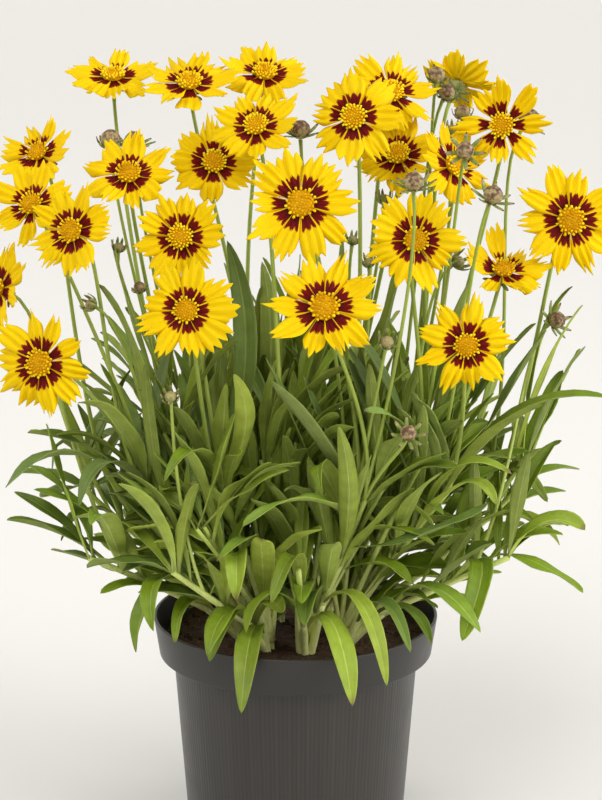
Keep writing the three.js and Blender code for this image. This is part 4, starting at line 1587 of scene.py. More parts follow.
def swept_tube(
    bm: BMesh, curve: Bezier, steps: int, sides: int, radii: Callable[[float], float], rib: float
) -> None:
    """Extrudes a circle along a curve into a closed rod.

    Args:
        bm: the mesh to add to.
        curve: the rod's centreline.
        steps: how many stretches it is extruded in.
        sides: how many sides its circle has.
        radii: from a share of the way along, gives the radius there.
        rib: the radius of every second corner, as a share, for a ribbed rod.
    """
    shares = curve.evenly(steps + 1)
    centres = curve.points(shares)
    tangents = curve.tangents(shares)
    normal = np.cross(tangents[0], (0.3, 1, 0.1))
    frames = []
    for share, centre, tangent in zip(np.linspace(0, 1, steps + 1), centres, tangents):
        normal = unit(normal - tangent * (normal @ tangent))
        radius = radii(float(share))
        columns = (normal * radius, np.cross(tangent, normal) * radius, tangent * radius, centre)
        rows = np.stack(columns, axis=1)
        frames.append(Matrix((*(tuple(map(float, row)) for row in rows), (0, 0, 0, 1))))
    ring = bmesh.ops.create_circle(bm, cap_ends=True, segments=sides, radius=1)["verts"]
    for vert in ring[1::2]:
        vert.co *= rib
    base = ring[0].link_faces[0]
    bmesh.ops.reverse_faces(bm, faces=[base])
    bmesh.ops.transform(bm, matrix=frames[0], verts=ring)
    edges = list(base.edges)
    for before, after in zip(frames, frames[1:]):
        grown = bmesh.ops.extrude_edge_only(bm, edges=edges)["geom"]
        verts = {part for part in grown if isinstance(part, BMVert)}
        bmesh.ops.transform(bm, matrix=after @ before.inverted(), verts=list(verts))
        edges = [part for part in grown if isinstance(part, BMEdge) and verts.issuperset(part.verts)]
    bmesh.ops.contextual_create(bm, geom=edges)


# ---- Leaves, stems and heads ----


@dataclass(frozen=True)
class LeafMaker:
    """Makes spatulate leaves: a narrow foot, widest past the middle, a blunt point, a folded midrib.

    The pairs of numbers are the ends that a leaf's draws fall between, as shares of the usual.
    """

    along: int = 13
    across: int = 8
    thickness: float = 0.36
    foot: float = 0.17
    widest: float = 1.3
    widest_vary: float = 0.15
    bluntness: float = 0.6
    bluntness_vary: float = 0.12
    taper: float = 0.6
    crowding: float = 1.5
    fold: float = 0.34
    folds: Pair = (0.5, 1.6)
    groove: float = 0.3
    groove_side: float = 0.1
    wave: float = 1.3
    waves: Pair = (0.3, 1.7)
    half_turns: Pair = (2.3, 4.0)
    droop: float = 2.5
    droops: Pair = (-0.3, 1.2)
    droop_stretch: Pair = (0.72, 1.05)

    def outline(self, shares: Array, vary: float) -> Array:
        """Half the leaf's width along its length, as a share of its width.

        Args:
            shares: where along the leaf.
            vary: from -1 for a blunt leaf, widest near its tip, to 1 for a pointed one.

        Returns:
            Half widths, as shares of the leaf's full width.
        """
        turn = math.pi * np.clip(shares, 0, 1) ** (self.widest - self.widest_vary * vary)
        power = self.bluntness + self.bluntness_vary * vary + self.taper * (1 - shares) ** 1.5
        blade = np.clip(np.sin(turn), 0, 1) ** power
        return 0.5 * (self.foot * (1 - shares**8) + (1 - self.foot) * blade)

    def add(self, bm: BMesh, leaf: GrownLeaf) -> None:
        """Adds one leaf along its settled midrib.

        Args:
            bm: the shoot's mesh of leaves.
            leaf: the leaf.
        """
        draw = Draws(leaf.seed + 17)
        tone = draw.next()
        phases = [draw.between(0, math.tau) for _ in range(2)]
        wave = self.wave * draw.between(*self.waves)
        droop = self.droop * draw.between(*self.droops)
        fold = self.fold * draw.between(*self.folds)
        vary = draw.between(-1, 1)
        evenly = leaf.curve.evenly(41)

        def shape(grid: Array, side: Array) -> Sheet:
            """Places the leaf's points, closer together towards its tip.

            Args:
                grid: how far along the grid each point is.
                side: how far across it is, from -1 to 1.

            Returns:
                The points and both of their UV values.
            """
            shares = 1 - (1 - grid) ** self.crowding
            along = np.interp(shares, np.linspace(0, 1, len(evenly)), evenly)
            half = leaf.plan.width * self.outline(shares, vary)
            across, upward = blade_frames(leaf.curve, leaf.plan.roll, along)
            lift = fold * half * np.abs(side) ** 1.3 - self.groove * (np.abs(side) < self.groove_side)
            # The first wave lifts both edges together, and the second one against the other.
            for phase, turns, against in zip(phases, self.half_turns, (1, np.where(side > 0, 1, -1))):
                swing = np.sin(phase + turns * math.pi * shares)
                lift = lift + wave * swing * side**2 * against * np.sqrt(half / leaf.plan.width)
            lift = lift - droop * smooth(shares, *self.droop_stretch)
            places = leaf.curve.points(along) + across * (half * side)[:, None] + upward * lift[:, None]
            return places, shares, (side + 1) / 2

        shaped_sheet(bm, self.along, self.across, shape, tone)


@dataclass(frozen=True)
class HeadShape:
    """A body spun round +Z and the ring of sepals round it, as radii and heights.

    A sepal starts on the body, curves towards its bend and ends between the first tip and the last. Tones
    say how dry the body is at its foot and at its top, and how dry the tips of the sepals are.
    """

    profile: tuple[Pair, ...]
    tones: Pair
    start: Pair
    bend: Pair
    first_tip: Pair
    last_tip: Pair
    width: float
    tip_tone: float = 0.9
    steps: int = 16
    flute: float = 0
    wander: float = 0.2


# The cup under a bloom, in millimetres.
CALYX = HeadShape(
    profile=((0, -9), (1.3, -8.6), (3.6, -6.6), (5.6, -3.6), (6.2, -1.6), (0, -1.2)),
    tones=(0, 0.15),
    start=(3, -6.4),
    bend=(7, -6),
    first_tip=(11, -6.1),
    last_tip=(11, -2.6),
    width=2.6,
    wander=0.15,
)

# The others, in shares of the head's radius.
HEAD_SHAPES = {
    BUD: HeadShape(
        profile=(
            *((0, -0.95), (0.35, -0.85), (0.72, -0.62), (0.95, -0.2)),
            *((0.98, 0.2), (0.8, 0.6), (0.45, 0.88), (0, 0.98)),
        ),
        tones=(0.05, 0.64),
        start=(0.3, -0.8),
        bend=(1.25, -0.75),
        first_tip=(1.35, -0.2),
        last_tip=(1.35, 0.6),
        width=0.42,
        steps=20,
        flute=0.07,
    ),
    CUP: HeadShape(
        profile=((0, -0.9), (0.4, -0.8), (0.85, -0.2), (0.9, 0.2), (0.6, 0.55), (0, 0.7)),
        tones=(0, 0.3),
        start=(0.4, -0.7),
        bend=(1.3, -0.3),
        first_tip=(1.0, 1.15),
        last_tip=(1.5, 1.15),
        width=0.5,
        tip_tone=0.6,
        flute=0.1,
    ),
    SEED: HeadShape(
        profile=((0, -0.9), (0.5, -0.75), (0.85, -0.3), (0.95, 0.1), (0.85, 0.5), (0.5, 0.85), (0, 0.95)),
        tones=(0.24, 0.64),
        start=(0.5, -0.6),
        bend=(1.3, -0.4),
        first_tip=(2.1, -0.3),
        last_tip=(2.1, 0.5),
        width=0.44,
        tip_tone=1.0,
        steps=24,
        flute=0.06,
    ),
}


@dataclass(frozen=True)
class BractMaker:
    """Makes the green parts behind and around flowers: sepals, cups, buds and spent domes."""

    sepals: int = 8
    sepal_along: int = 6
    sepal_across: int = 2
    sepal_waist: float = 0.75
    sepal_swell: float = 0.6
    sepal_fold: float = 0.25
    tip_start: float = 0.78
    thickness: float = 0.45

    def add(
        self, sheets: BMesh, bodies: BMesh, frame: Matrix, shape: HeadShape, size: float, draw: Draws
    ) -> None:
        """Adds a calyx, a bud or a spent head.

        Args:
            sheets: the mesh of thin parts.
            bodies: the mesh of solid parts.
            frame: the head's place and pose.
            shape: what it looks like.
            size: the millimetres that one in its shape stands for.
            draw: its draws.
        """
        self._add_body(bodies, frame, shape, size)
        for k in range(self.sepals):
            angle = math.tau * (k + draw.between(-shape.wander, shape.wander)) / self.sepals
            share = draw.next()
            tip = [mix(first, last, share) for first, last in zip(shape.first_tip, shape.last_tip)]
            curve = Bezier(*((size * r, 0, size * z) for r, z in (shape.start, shape.bend, tip)))
            turn = frame @ Matrix.Rotation(angle, 4, "Z")
            self._add_sepal(sheets, turn, curve, size * shape.width, shape.tip_tone)

    def _add_body(self, bm: BMesh, frame: Matrix, shape: HeadShape, size: float) -> None:
        """Adds the spun body, with every second meridian drawn in.

        Args:
            bm: the mesh to add to.
            frame: the head's place and pose.
            shape: what it looks like.
            size: the millimetres that one in its shape stands for.
        """
        layer = own_layer(bm)
        profile = [(size * r, size * z) for r, z in shape.profile]
        low, high = min(z for _, z in profile), max(z for _, z in profile)
        for vert in spun(bm, profile, shape.steps):
            vert[layer] = mix(*shape.tones, (vert.co.z - low) / (high - low))
            step = round(math.atan2(vert.co.y, vert.co.x) * shape.steps / math.tau)
            if step % 2:
                vert.co.xy *= 1 - shape.flute
            vert.co = frame @ vert.co

    def _add_sepal(self, bm: BMesh, turn: Matrix, curve: Bezier, width: float, tip_tone: float) -> None:
        """Adds one sepal, a narrow blade that is folded and comes to a point.

        Args:
            bm: the mesh to add to.
            turn: the head's place and pose, turned to the sepal.
            curve: the sepal's midrib, before that turn.
            width: its width.
            tip_tone: how dry its tip is.
        """
        layer = own_layer(bm)
        grid = bmesh.ops.create_grid(bm, x_segments=self.sepal_along, y_segments=self.sepal_across, size=1)
        corners = np.array([vert.co for vert in grid["verts"]])
        shares = (corners[:, 0] + 1) / 2
        pointed = np.sqrt(np.clip(1 - shares**2.2, 0.012, 1))
        half = width * (self.sepal_waist + self.sepal_swell * shares) * pointed / 2
        points = curve.points(shares)
        points[:, 1] += half * corners[:, 1]
        points[:, 2] += self.sepal_fold * half * np.abs(corners[:, 1])
        for vert, point, share in zip(grid["verts"], points, shares):
            vert.co = turn @ Vector(point)
            vert[layer] = mix(0, tip_tone, max(0.0, share - self.tip_start) / (1 - self.tip_start))


@dataclass(frozen=True)
class ShootMaker:
    """Dresses one shoot: its stems, its leaves and its heads' green parts."""

    limb_sides: int = 10
    stalk_sides: int = 8
    limb_steps: int = 12
    foot_steps: int = 8
    stalk_steps: int = 22
    rib: float = 0.88
    stub_taper: Pair = (0.85, 0.5)
    stub_round: float = 0.88
    joint_at: float = 0.3
    foot_depth: float = 116
    foot_spread: float = 3.6
    foot_rise: float = 7
    foot_radii: Pair = (2.7, 2.3)
    stalk_taper: Pair = (1.3, 0.95)
    stalk_flare: float = 0.35
    flare_start: float = 0.97
    leaf: LeafMaker = LeafMaker()
    bracts: BractMaker = BractMaker()

    def dress(self, shoot: GrownShoot) -> None:
        """Builds the shoot's pieces and stands them in for its node.

        Args:
            shoot: the grown shoot.
        """
        node = f"shoot_{shoot.number}"
        finish_piece(self._stems(shoot), node + "_stems", "foliage", node, StemSkin())
        leaves = bmesh.new()
        for grown in shoot.leaves:
            self.leaf.add(leaves, grown)
        bmesh.ops.remove_doubles(leaves, verts=leaves.verts, dist=1e-4)
        under = LeafFace("leaf_under_face", "#90A052", "#94A43C", "#ACBA46", "#C2CE7C", 0.7)
        piece = finish_piece(leaves, node + "_leaves", "foliage", node, LeafFace(), under)
        give_thickness(piece, self.leaf.thickness)
        sheets, bodies = bmesh.new(), bmesh.new()
        for number, stalk in enumerate(shoot.stalks):
            draw = Draws(300 + 40 * shoot.number + number)
            shape, size = CALYX, 1
            if isinstance(stalk.head, HeadPlan):
                shape, size = HEAD_SHAPES[stalk.head.form], stalk.head.radius
            self.bracts.add(sheets, bodies, placing(stalk.head), shape, size, draw)
        finish_piece(bodies, node + "_heads", "foliage", node, BractSkin())
        sepals = finish_piece(sheets, node + "_sepals", "foliage", node, BractSkin())
        give_thickness(sepals, self.bracts.thickness, 0)

    def _stub_radius(self, share: float) -> float:
        """The radius of a shoot's foot, which narrows and then rounds over between its limbs."""
        rounding = max(0.0, (share - self.stub_round) / (1 - self.stub_round))
        return STEM.base_radius * mix(*self.stub_taper, share) * math.sqrt(max(0.02, 1 - rounding**2))

    def _stalk_radius(self, radius: float, share: float) -> float:
        """The radius of a stalk, which narrows upward and then flares under its flower."""
        flare = self.stalk_flare * max(0.0, share - self.flare_start) / (1 - self.flare_start)
        return radius * (mix(*self.stalk_taper, share) + flare)

    def _stems(self, shoot: GrownShoot) -> BMesh:
        """The shoot's stub, limbs and stalks.

        Args:
            shoot: the grown shoot.

        Returns:
            One mesh that holds them all.
        """
        bm = bmesh.new()
        x, y = SHOOT_BASES[shoot.number - 1]
        heights = (STEM.stub_floor, (STEM.stub_floor + STEM.stub_top) / 2, STEM.stub_top)
        stub = Bezier(*((x, y, z) for z in heights))
        swept_tube(bm, stub, self.limb_steps, self.limb_sides, self._stub_radius, self.rib)
        for limb in shoot.limbs:
            joint = limb.point(self.joint_at)
            outward = self.foot_spread * unit(np.array((joint[0] - x, joint[1] - y, 0)))
            foot = np.array((x, y, self.foot_depth)) + outward
            rise = foot + np.array((0, 0, self.foot_rise)) + outward
            radii = partial(mix, *self.foot_radii)
            swept_tube(bm, Bezier(foot, rise, joint), self.foot_steps, self.limb_sides, radii, self.rib)
        for size, curves in ((1, shoot.limbs), (SIDE_STEM_SIZE, shoot.side_stems)):
            radii = partial(mix, size * STEM.limb_radius, size * STEM.tip_radius)
            for curve in curves:
                swept_tube(bm, curve, self.limb_steps, self.limb_sides, radii, self.rib)
        for stalk in shoot.stalks:
            is_bloom = isinstance(stalk.head, BloomPlan)
            radii = partial(self._stalk_radius, STEM.stalk_radius if is_bloom else STEM.bud_stalk_radius)
            swept_tube(bm, stalk.curve, self.stalk_steps, self.stalk_sides, radii, self.rib)
        return bm


# ---- Blooms ----


@dataclass(frozen=True)
class RayForm:
    """The drawn form of one ray floret.

    Its length and the depth and unevenness of its teeth are shares of the bloom's radius. Its lift, roll,
    curl and cup say in millimetres how far its tip, sides and rim leave the bloom's dish.
    """

    angle: float
    length: float
    lift: float
    teeth: int
    depth: float
    breadth: float
    skew: float
    roll: float
    curl: float
    cup: float
    rim: float
    uneven: tuple[float, ...]
    phase: float


@dataclass(frozen=True)
class RayMaker:
    """Makes a bloom's ray florets: pleated wedges that end in a few long teeth, in two layers.

    Roots, breadths and stretches are shares of the bloom's radius or of the floret's sector.
    """

    along: int = 14
    across: int = 16
    thickness: float = 0.32
    root: float = 0.16
    root_breadth: float = 1.06
    full_breadth: float = 1.16
    star: Pair = (0.4, 0.78)
    broadening: Pair = (0.2, 0.6)
    narrowing: Pair = (0.44, 1.0)
    corner: float = 0.13
    pleat: float = 0.85
    pleats: int = 3
    three_teeth: float = 0.55
    layer_lift: Pair = (0.8, 2)
    plate_lengths: Pair = (0.91, 1.05)
    fine_lengths: Pair = (1.02, 1.16)
    seat: float = 0.9
    ripple: float = 0.7

    def add(self, bm: BMesh, bloom: BloomPlan, number: int) -> None:
        """Adds all the ray florets of one bloom.

        Args:
            bm: the bloom's mesh.
            bloom: the bloom.
            number: its number, which picks its draws.
        """
        draw = Draws(100 + number)
        fine = Draws(9000 + number)
        pitch = math.tau / bloom.rays
        star = Draws(8000 + number).between(*self.star)
        slender = SLENDER_BLOOMS.get(number, 1.0)
        for j in range(bloom.rays):
            form = RayForm(
                angle=(j + 0.08 * (draw.next() - 0.5) + fine.between(-0.07, 0.07)) * pitch,
                length=draw.between(*self.plate_lengths) * fine.between(*self.fine_lengths),
                lift=(-1 if j % 2 else 1) * draw.between(*self.layer_lift),
                teeth=3 if fine.next() < self.three_teeth else 4,
                depth=fine.between(0.1, 0.22),
                breadth=slender * fine.between(0.88, 1.12),
                skew=fine.between(-0.08, 0.08),
                roll=fine.between(-3, 3),
                curl=fine.between(-5.5, 3),
                cup=fine.between(-1, 2),
                rim=star * fine.between(0.8, 1.25),
                uneven=tuple(fine.between(0, 0.13) for _ in range(4)),
                phase=fine.between(0, math.tau),
            )
            self._add_ray(bm, bloom, form, fine.next())

    def _add_ray(self, bm: BMesh, bloom: BloomPlan, form: RayForm, own: float) -> None:
        """Adds one ray floret.

        Args:
            bm: the bloom's mesh.
            bloom: the bloom.
            form: the floret's form.
            own: its own value for the finish.
        """
        matrix = placing(bloom)
        turn = np.array(matrix.to_3x3())
        centre = np.array(matrix.translation)

        def shape(grid: Array, side: Array) -> Sheet:
            """Places the floret's points.

            Args:
                grid: how far along the grid each point is.
                side: how far across it is, from -1 to 1.

            Returns:
                The points and both of their UV values.
            """
            rim = self._rim(side, form)
            share = self.root + (rim - self.root) * grid
            forward = share * bloom.radius
            sideways = side * self._half_width(share, bloom, form.rim) * form.breadth
            sideways = sideways + form.skew * forward * grid
            height = bloom.dish * bloom.radius * share**2 + self._relief(grid, side, share, form)
            x = forward * math.cos(form.angle) - sideways * math.sin(form.angle)
            y = forward * math.sin(form.angle) + sideways * math.cos(form.angle)
            local = np.stack([x, y, height], axis=1)
            return local @ turn.T + centre, np.hypot(forward, sideways) / bloom.radius, (side + 1) / 2

        shaped_sheet(bm, self.along, self.across, shape, own)

    def _rim(self, side: Array, form: RayForm) -> Array:
        """How far out the floret ends along its toothed rim.

        Args:
            side: how far across it, from -1 to 1.
            form: the floret's form.

        Returns:
            Shares of the bloom's radius.
        """
        turn = (side + 1) / 2 * form.teeth
        tooth = np.clip(turn.astype(int), 0, form.teeth - 1)
        notch = np.abs(2 * (turn - tooth) - 1)
        shorter = np.array(form.uneven)[tooth]
        outermost = (tooth == 0) | (tooth == form.teeth - 1)
        corner = np.where(outermost, self.corner, 0) * np.abs(side)
        return form.length * (1 - shorter - corner - form.depth * notch**1.3)

    def _half_width(self, share: Array, bloom: BloomPlan, rim: float) -> Array:
        """Half the floret's width.

        Args:
            share: how far out, as a share of the bloom's radius.
            bloom: the bloom.
            rim: how broad the floret stays at its rim.

        Returns:
            Half widths in millimetres.
        """
        sector = share * bloom.radius * math.tan(math.pi / bloom.rays)
        broader = (self.full_breadth - self.root_breadth) * smooth(share, *self.broadening)
        narrower = (rim - self.full_breadth) * smooth(share, *self.narrowing)
        return sector * (self.root_breadth + broader + narrower)

    def _relief(self, grid: Array, side: Array, share: Array, form: RayForm) -> Array:
        """The floret's height over its bloom's dish: its layer, folds, curl and cupping.

        Args:
            grid: how far along it.
            side: how far across it, from -1 to 1.
            share: how far out, as a share of the bloom's radius.
            form: the floret's form.

        Returns:
            Heights in millimetres.
        """
        height = self.seat + form.lift * share
        height = height + self.pleat * np.cos(self.pleats * math.pi * side) * smooth(grid, 0.05, 0.5)
        height = height + form.roll * side * grid - form.cup * side**2 * grid
        height = height + form.curl * smooth(grid, 0.5, 1.1)
        return height + self.ripple * np.sin(4 * side + form.phase) * grid**2


@dataclass(frozen=True)
class DiscMaker:
    """Makes a bloom's disc: a low dome packed with florets on a golden-angle spiral.

    Pairs of tones, widths and flares are those of a closed floret and of an open one. The spreads are the
    ends of the draws that make each floret lean, stand out, swell and ripen a little differently.
    """

    share: float = 0.27
    florets: int = 64
    floret_sides: int = 5
    crowd: float = 0.86
    seat: float = 1.3
    rise: float = 3.4
    skirt: float = -0.5
    dome_tone: float = 0.05
    openings: Pair = (0.25, 0.75)
    oldest: float = 0.3
    sink: float = 0.5
    lean: float = 0.7
    height: float = 1.3
    growth: float = 1.0
    usual_radius: float = 7.3
    widths: Pair = (0.56, 0.5)
    flares: Pair = (0.55, 1.35)
    tones: Pair = (0.46, 0.9)
    lean_spread: Pair = (-0.12, 0.12)
    height_spread: Pair = (-0.6, 0.7)
    width_spread: Pair = (0.85, 1.15)
    tone_spread: Pair = (-0.28, 0.24)

    def add(self, bm: BMesh, bloom: BloomPlan, number: int) -> None:
        """Adds the dome and its florets.

        Args:
            bm: the disc's mesh.
            bloom: the bloom.
            number: its number, which picks its draws.
        """
        draw = Draws(5000 + number)
        layer = own_layer(bm)
        radius = self.share * bloom.radius
        seat = self.seat + bloom.dish * bloom.radius * self.share**2
        openness = draw.between(*self.openings)
        age = Draws(7000 + number).between(0, self.oldest)
        matrix = placing(bloom)
        for vert in bmesh.ops.create_uvsphere(bm, u_segments=20, v_segments=10, radius=1)["verts"]:
            flat = vert.co.xy * radius * self.crowd
            vert.co = matrix @ Vector((*flat, seat + max(self.skirt, vert.co.z * self.rise)))
            vert[layer] = self.dome_tone
        for k in range(self.florets):
            share = math.sqrt((k + 0.5) / self.florets)
            opened = smooth(np.array([share]), 1 - openness, 1.1 - 0.5 * openness)[0]
            dome = math.sqrt(max(0.0, 1 - (0.97 * share) ** 2))
            foot = Vector((self.crowd * radius * share, 0, seat + self.rise * dome - self.sink))
            turn = Matrix.Rotation(k * math.radians(GOLDEN_ANGLE), 4, "Z")
            lean = Matrix.Rotation(self.lean * share**2 + draw.between(*self.lean_spread), 4, "Y")
            height = self.height + self.growth * opened + draw.between(*self.height_spread)
            width = mix(*self.widths, opened) * draw.between(*self.width_spread)
            width *= radius / self.usual_radius
            raised = Matrix.Translation((0, 0, height / 2))
            made = bmesh.ops.create_cone(
                bm,
                cap_ends=True,
                segments=self.floret_sides,
                radius1=width,
                radius2=width * mix(*self.flares, opened),
                depth=height,
                matrix=matrix @ turn @ Matrix.Translation(foot) @ lean @ raised,
            )["verts"]
            ripe = mix(*self.tones, opened) - age + draw.between(*self.tone_spread)
            for vert in made:
                vert[layer] = min(1.0, max(0.0, ripe))


@dataclass(frozen=True)
class BloomMaker:
    """Dresses one bloom: its ray florets and its disc."""

    rays: RayMaker = RayMaker()
    disc: DiscMaker = DiscMaker()

    def dress(self, bloom: BloomPlan, number: int) -> None:
        """Builds both pieces and stands them in for the bloom's nodes.

        Args:
            bloom: the bloom.
            number: its number.
        """
        name = f"bloom_{number:02d}"
        rays, disc = bmesh.new(), bmesh.new()
        self.rays.add(rays, bloom, number)
        self.disc.add(disc, bloom, number)
        petals = (name + "_petals", "ray_florets", name + "_rays")
        piece = finish_piece(rays, *petals, RayFlorets(), RayReverse())
        give_thickness(piece, self.rays.thickness)
        finish_piece(disc, name + "_florets", "disc_florets", name + "_disc", DiscFlorets())


# ---- Pot and soil ----


@dataclass(frozen=True)
class PotMaker:
    """Dresses the nursery pot: a spun shell with a collar, a rolled lip and drain holes."""

    steps: int = 144
    arc_points: int = 5
    lip: float = 0.9
    corner: float = 1.6
    shoulder: float = 0.8
    drain_sides: int = 24

    def _profile(self) -> list[Pair]:
        """The outline of the wall's section, with rounded corners.

        Returns:
            Radii and heights from the axis below, out, up, and back down inside to the axis.
        """
        inner = POT.wall
        ledge = POT.collar_foot + inner
        rounded = [
            ((POT.foot_radius, 0), self.corner * 1.5),
            ((POT.shoulder_radius, POT.collar_foot), self.shoulder),
            ((POT.collar_foot_radius, POT.collar_foot), 0.5 * self.corner),
            ((POT.rim_radius, POT.height), self.lip),
            ((POT.rim_radius - inner, POT.height), self.lip * 0.7),
            ((POT.collar_foot_radius - inner, ledge), self.corner),
            ((POT.shoulder_radius - inner, ledge), self.shoulder),
            ((POT.foot_radius - inner, inner), self.corner),
        ]
        corners = [np.array((*corner, 0), float) for corner, _ in rounded]
        ends = [np.zeros(3), *corners, np.array((0, inner, 0), float)]
        outline = [(0.0, 0.0)]
        for i, (_, radius) in enumerate(rounded, 1):
            before = unit(ends[i - 1] - ends[i])
            after = unit(ends[i + 1] - ends[i])
            arc = Bezier(ends[i] + before * radius, ends[i], ends[i] + after * radius)
            outline += [(float(r), float(z)) for r, z, _ in arc.points(np.linspace(0, 1, self.arc_points))]
        return [*outline, (0.0, inner)]

    def dress(self) -> None:
        """Builds the pot and stands it in for its node."""
        bm = bmesh.new()
        spun(bm, self._profile(), self.steps)
        self._drill(finish_piece(bm, "nursery_pot", "pot", "pot", MouldedPolypropylene()))

    def _drill(self, pot: Object) -> None:
        """Cuts the drain holes through the pot's floor.

        Args:
            pot: the pot.
        """
        bm = bmesh.new()
        size = {"radius1": POT.drain_radius, "radius2": POT.drain_radius, "depth": 6 * POT.wall}
        for k in range(POT.drains):
            angle = math.tau * (k + 0.5) / POT.drains
            place = (POT.drain_ring * math.cos(angle), POT.drain_ring * math.sin(angle), 0)
            matrix = Matrix.Translation(place)
            bmesh.ops.create_cone(bm, cap_ends=True, segments=self.drain_sides, matrix=matrix, **size)
        cutters = to_object(bm, "drain_cutters")
        cut = pot.modifiers.new("drains", "BOOLEAN")
        cut.object = cutters
        cut.operation = "DIFFERENCE"
        cut.solver = "EXACT"
        bpy.context.view_layer.update()
        drilled = bpy.data.meshes.new_from_object(pot.evaluated_get(bpy.context.evaluated_depsgraph_get()))
        pot.modifiers.clear()
        pot.data = drilled
        bpy.data.objects.remove(cutters)


@dataclass(frozen=True)
class SoilMaker:
    """Dresses the soil: a spun plug with an uneven top, and crumbs and fibres lying on it.

    The coarse and the fine lumps of its top are slices of noise, each at a level and of a size.
    """

    steps: int = 90
    rings: int = 30
    gap: float = 0.3
    weld: float = 1e-3
    unevenness: float = 1.1
    lumps: tuple[Pair, Pair] = ((0, 9), (7, 3))
    fine_share: float = 0.7
    crumbs: int = 520
    fibres: int = 70
    edge: float = 3
    crumb_sizes: Pair = (0.5, 1.7)
    fibre_lengths: Pair = (2, 5)
    crumb_breadths: Pair = (0.6, 1)
    crumb_heights: Pair = (0.4, 0.8)
    fibre_breadth: float = 0.35
    fibre_height: float = 0.3
    raised: float = 0.3
    leans: Pair = (-0.3, 0.3)

    def dress(self) -> None:
        """Builds the soil and stands it in for its node."""
        inner = POT.wall + self.gap
        slope = (POT.rim_radius - POT.collar_foot_radius) / POT.collar_height
        top_radius = POT.collar_foot_radius + slope * (SOIL.surface - POT.collar_foot) - inner
        foot, shoulder = POT.foot_radius - inner, POT.shoulder_radius - inner
        ledge = POT.collar_foot + inner
        floor = [(0, inner), (foot, inner), (shoulder, POT.collar_foot)]
        wall = [*floor, (shoulder, ledge), (top_radius - 1, ledge)]
        top = [(top_radius * (1 - k / self.rings), SOIL.surface) for k in range(self.rings + 1)]
        bm = bmesh.new()
        for vert in spun(bm, (*wall, *top), self.steps, self.weld):
            if vert.co.z > SOIL.surface - 0.5:
                vert.co.z += self._lumps(vert.co.x, vert.co.y)
        self._scatter(bm, top_radius - self.edge)
        finish_piece(bm, "potting_soil", "soil", "soil", PottingSoil())

    def _lumps(self, x: float, y: float) -> float:
        """How far the surface rises or falls at a place."""
        coarse, fine = (noise.noise(Vector((x, y, z)) / size) for z, size in self.lumps)
        return self.unevenness * (coarse + self.fine_share * fine)

    def _scatter(self, bm: BMesh, radius: float) -> None:
        """Lays crumbs and fibres on the surface.

        Args:
            bm: the soil's mesh.
            radius: how far out they lie.
        """
        draw = Draws(77)
        for k in range(self.crumbs + self.fibres):
            out = radius * math.sqrt(draw.next())
            angle = draw.between(0, math.tau)
            x, y = out * math.cos(angle), out * math.sin(angle)
            if k < self.crumbs:
                size = draw.between(*self.crumb_sizes)
                shares = (1, draw.between(*self.crumb_breadths), draw.between(*self.crumb_heights))
                scale = size * Vector(shares)
            else:
                scale = Vector((draw.between(*self.fibre_lengths), self.fibre_breadth, self.fibre_height))
            rest = Matrix.Translation((x, y, SOIL.surface + self._lumps(x, y) + self.raised * scale.z))
            heading = Matrix.Rotation(draw.between(0, math.tau), 4, "Z")
            lean = Matrix.Rotation(draw.between(*self.leans), 4, "Y")
            shape = rest @ heading @ lean @ Matrix.Diagonal((*scale, 1))
            bmesh.ops.create_icosphere(bm, subdivisions=1, radius=1, matrix=shape)


# ---- Studio ----


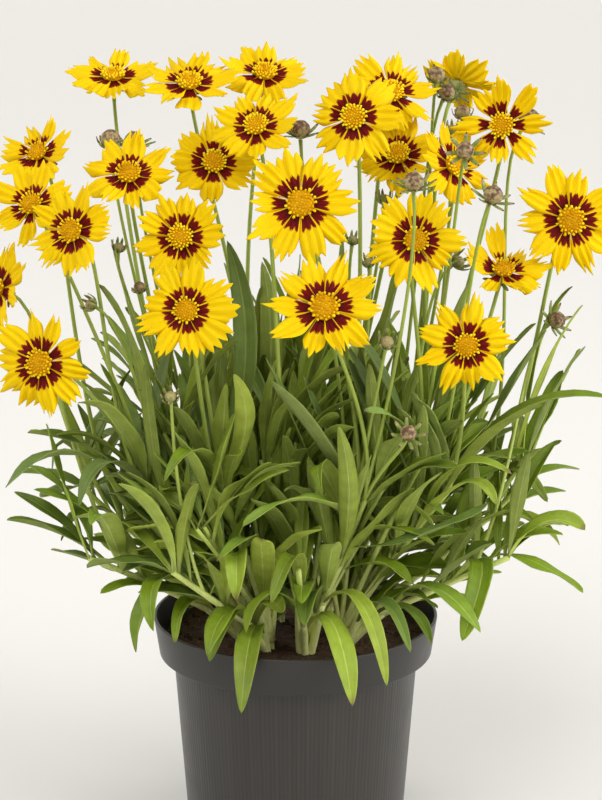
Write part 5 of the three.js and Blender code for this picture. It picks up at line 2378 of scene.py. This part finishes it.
@dataclass(frozen=True)
class Studio:
    """A pale sweep of paper, soft lights and the camera."""

    camera_place: Point = (3.3, -1891.04, 786.14)
    camera_pitch: float = 15.349
    lens: float = 149.85
    view_end: float = 20000
    target: Point = (0, 0, 240)
    softness: float = 0.6
    key_place: Point = (-450, -1150, 1600)
    key_strength: float = 1.32
    fill_place: Point = (1250, -850, 950)
    fill_strength: float = 1.62
    rim_place: Point = (1700, 200, 1000)
    rim_power: float = 10
    rim_imbalance: float = 0.2
    rim_size: float = 900
    tent: str = "#FFFDFA"
    tent_strength: float = 0.46
    floor_half_width: float = 9000
    floor_front: float = -9000
    floor_back: float = 7000
    wall_height: float = 6000
    bend_radius: float = 2000
    bend_points: int = 16

    def build(self) -> None:
        """Builds the sweep, the lights and the camera."""
        self._sweep()
        self._light("key", self.key_place, self.key_strength)
        self._light("fill", self.fill_place, self.fill_strength)
        x, y, z = self.rim_place
        for side in (-1, 1):
            power = (1 + self.rim_imbalance * side) * self.rim_power
            self._light("rim", (side * x, y, z), power, self.rim_size)
        world = bpy.data.worlds.new("tent")
        bpy.context.scene.world = world
        world.use_nodes = True
        background = world.node_tree.nodes["Background"]
        background.inputs[0].default_value = linear(self.tent)
        background.inputs[1].default_value = self.tent_strength
        bpy.context.scene.view_settings.view_transform = "Standard"
        camera = bpy.data.cameras.new("camera")
        camera.lens = self.lens
        camera.clip_end = self.view_end * METRES
        holder = bpy.data.objects.new("camera", camera)
        bpy.context.scene.collection.objects.link(holder)
        holder.location = Vector(self.camera_place) * METRES
        holder.rotation_euler = (math.radians(90 - self.camera_pitch), 0, 0)
        bpy.context.scene.camera = holder

    def _light(self, name: str, place: Point, power: float, size: float = 0) -> None:
        """Adds a soft light that looks at the plant.

        Args:
            name: the light's name.
            place: where it stands, or where it comes from if it is far away.
            power: its power in watts, or its strength in watts per square metre if it is far away.
            size: the side of its square, or nothing for a light that is far away.
        """
        lamp = bpy.data.lights.new(name, "AREA" if size else "SUN")
        if size:
            lamp.size = size * METRES
        else:
            lamp.angle = self.softness
        lamp.energy = power
        holder = bpy.data.objects.new(name, lamp)
        bpy.context.scene.collection.objects.link(holder)
        holder.location = Vector(place) * METRES
        aim = Vector(self.target) - Vector(place)
        holder.rotation_euler = aim.to_track_quat("-Z", "Y").to_euler()

    def _sweep(self) -> None:
        """Adds the floor that bends up into the backdrop."""
        bm = bmesh.new()
        back, left = self.floor_back, -self.floor_half_width
        bend = Bezier((left, back - self.bend_radius, 0), (left, back, 0), (left, back, self.bend_radius))
        curved = bend.points(np.linspace(0, 1, self.bend_points))
        line = [(left, self.floor_front, 0), *curved, (left, back, self.wall_height)]
        verts = [bm.verts.new(place) for place in line]
        edges = [bm.edges.new(pair) for pair in zip(verts, verts[1:])]
        grown = bmesh.ops.extrude_edge_only(bm, edges=edges)["geom"]
        moved = [part for part in grown if isinstance(part, BMVert)]
        bmesh.ops.translate(bm, vec=(2 * self.floor_half_width, 0, 0), verts=moved)
        bmesh.ops.recalc_face_normals(bm, faces=bm.faces)
        to_object(bm, "paper_sweep", StudioPaper())


def main() -> None:
    """Builds the studio and every piece of the plant, in order."""
    logging.basicConfig(level=logging.INFO, format="%(name)s: %(message)s")
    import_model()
    Studio().build()
    PotMaker().dress()
    SoilMaker().dress()
    shoots = Plant().grow()
    LOG.info("%d leaves grown", sum(len(shoot.leaves) for shoot in shoots))
    for shoot in shoots:
        ShootMaker().dress(shoot)
    for number, bloom in enumerate(BLOOMS, 1):
        BloomMaker().dress(bloom, number)
    bpy.context.view_layer.update()


if __name__ == "__main__":
    main()
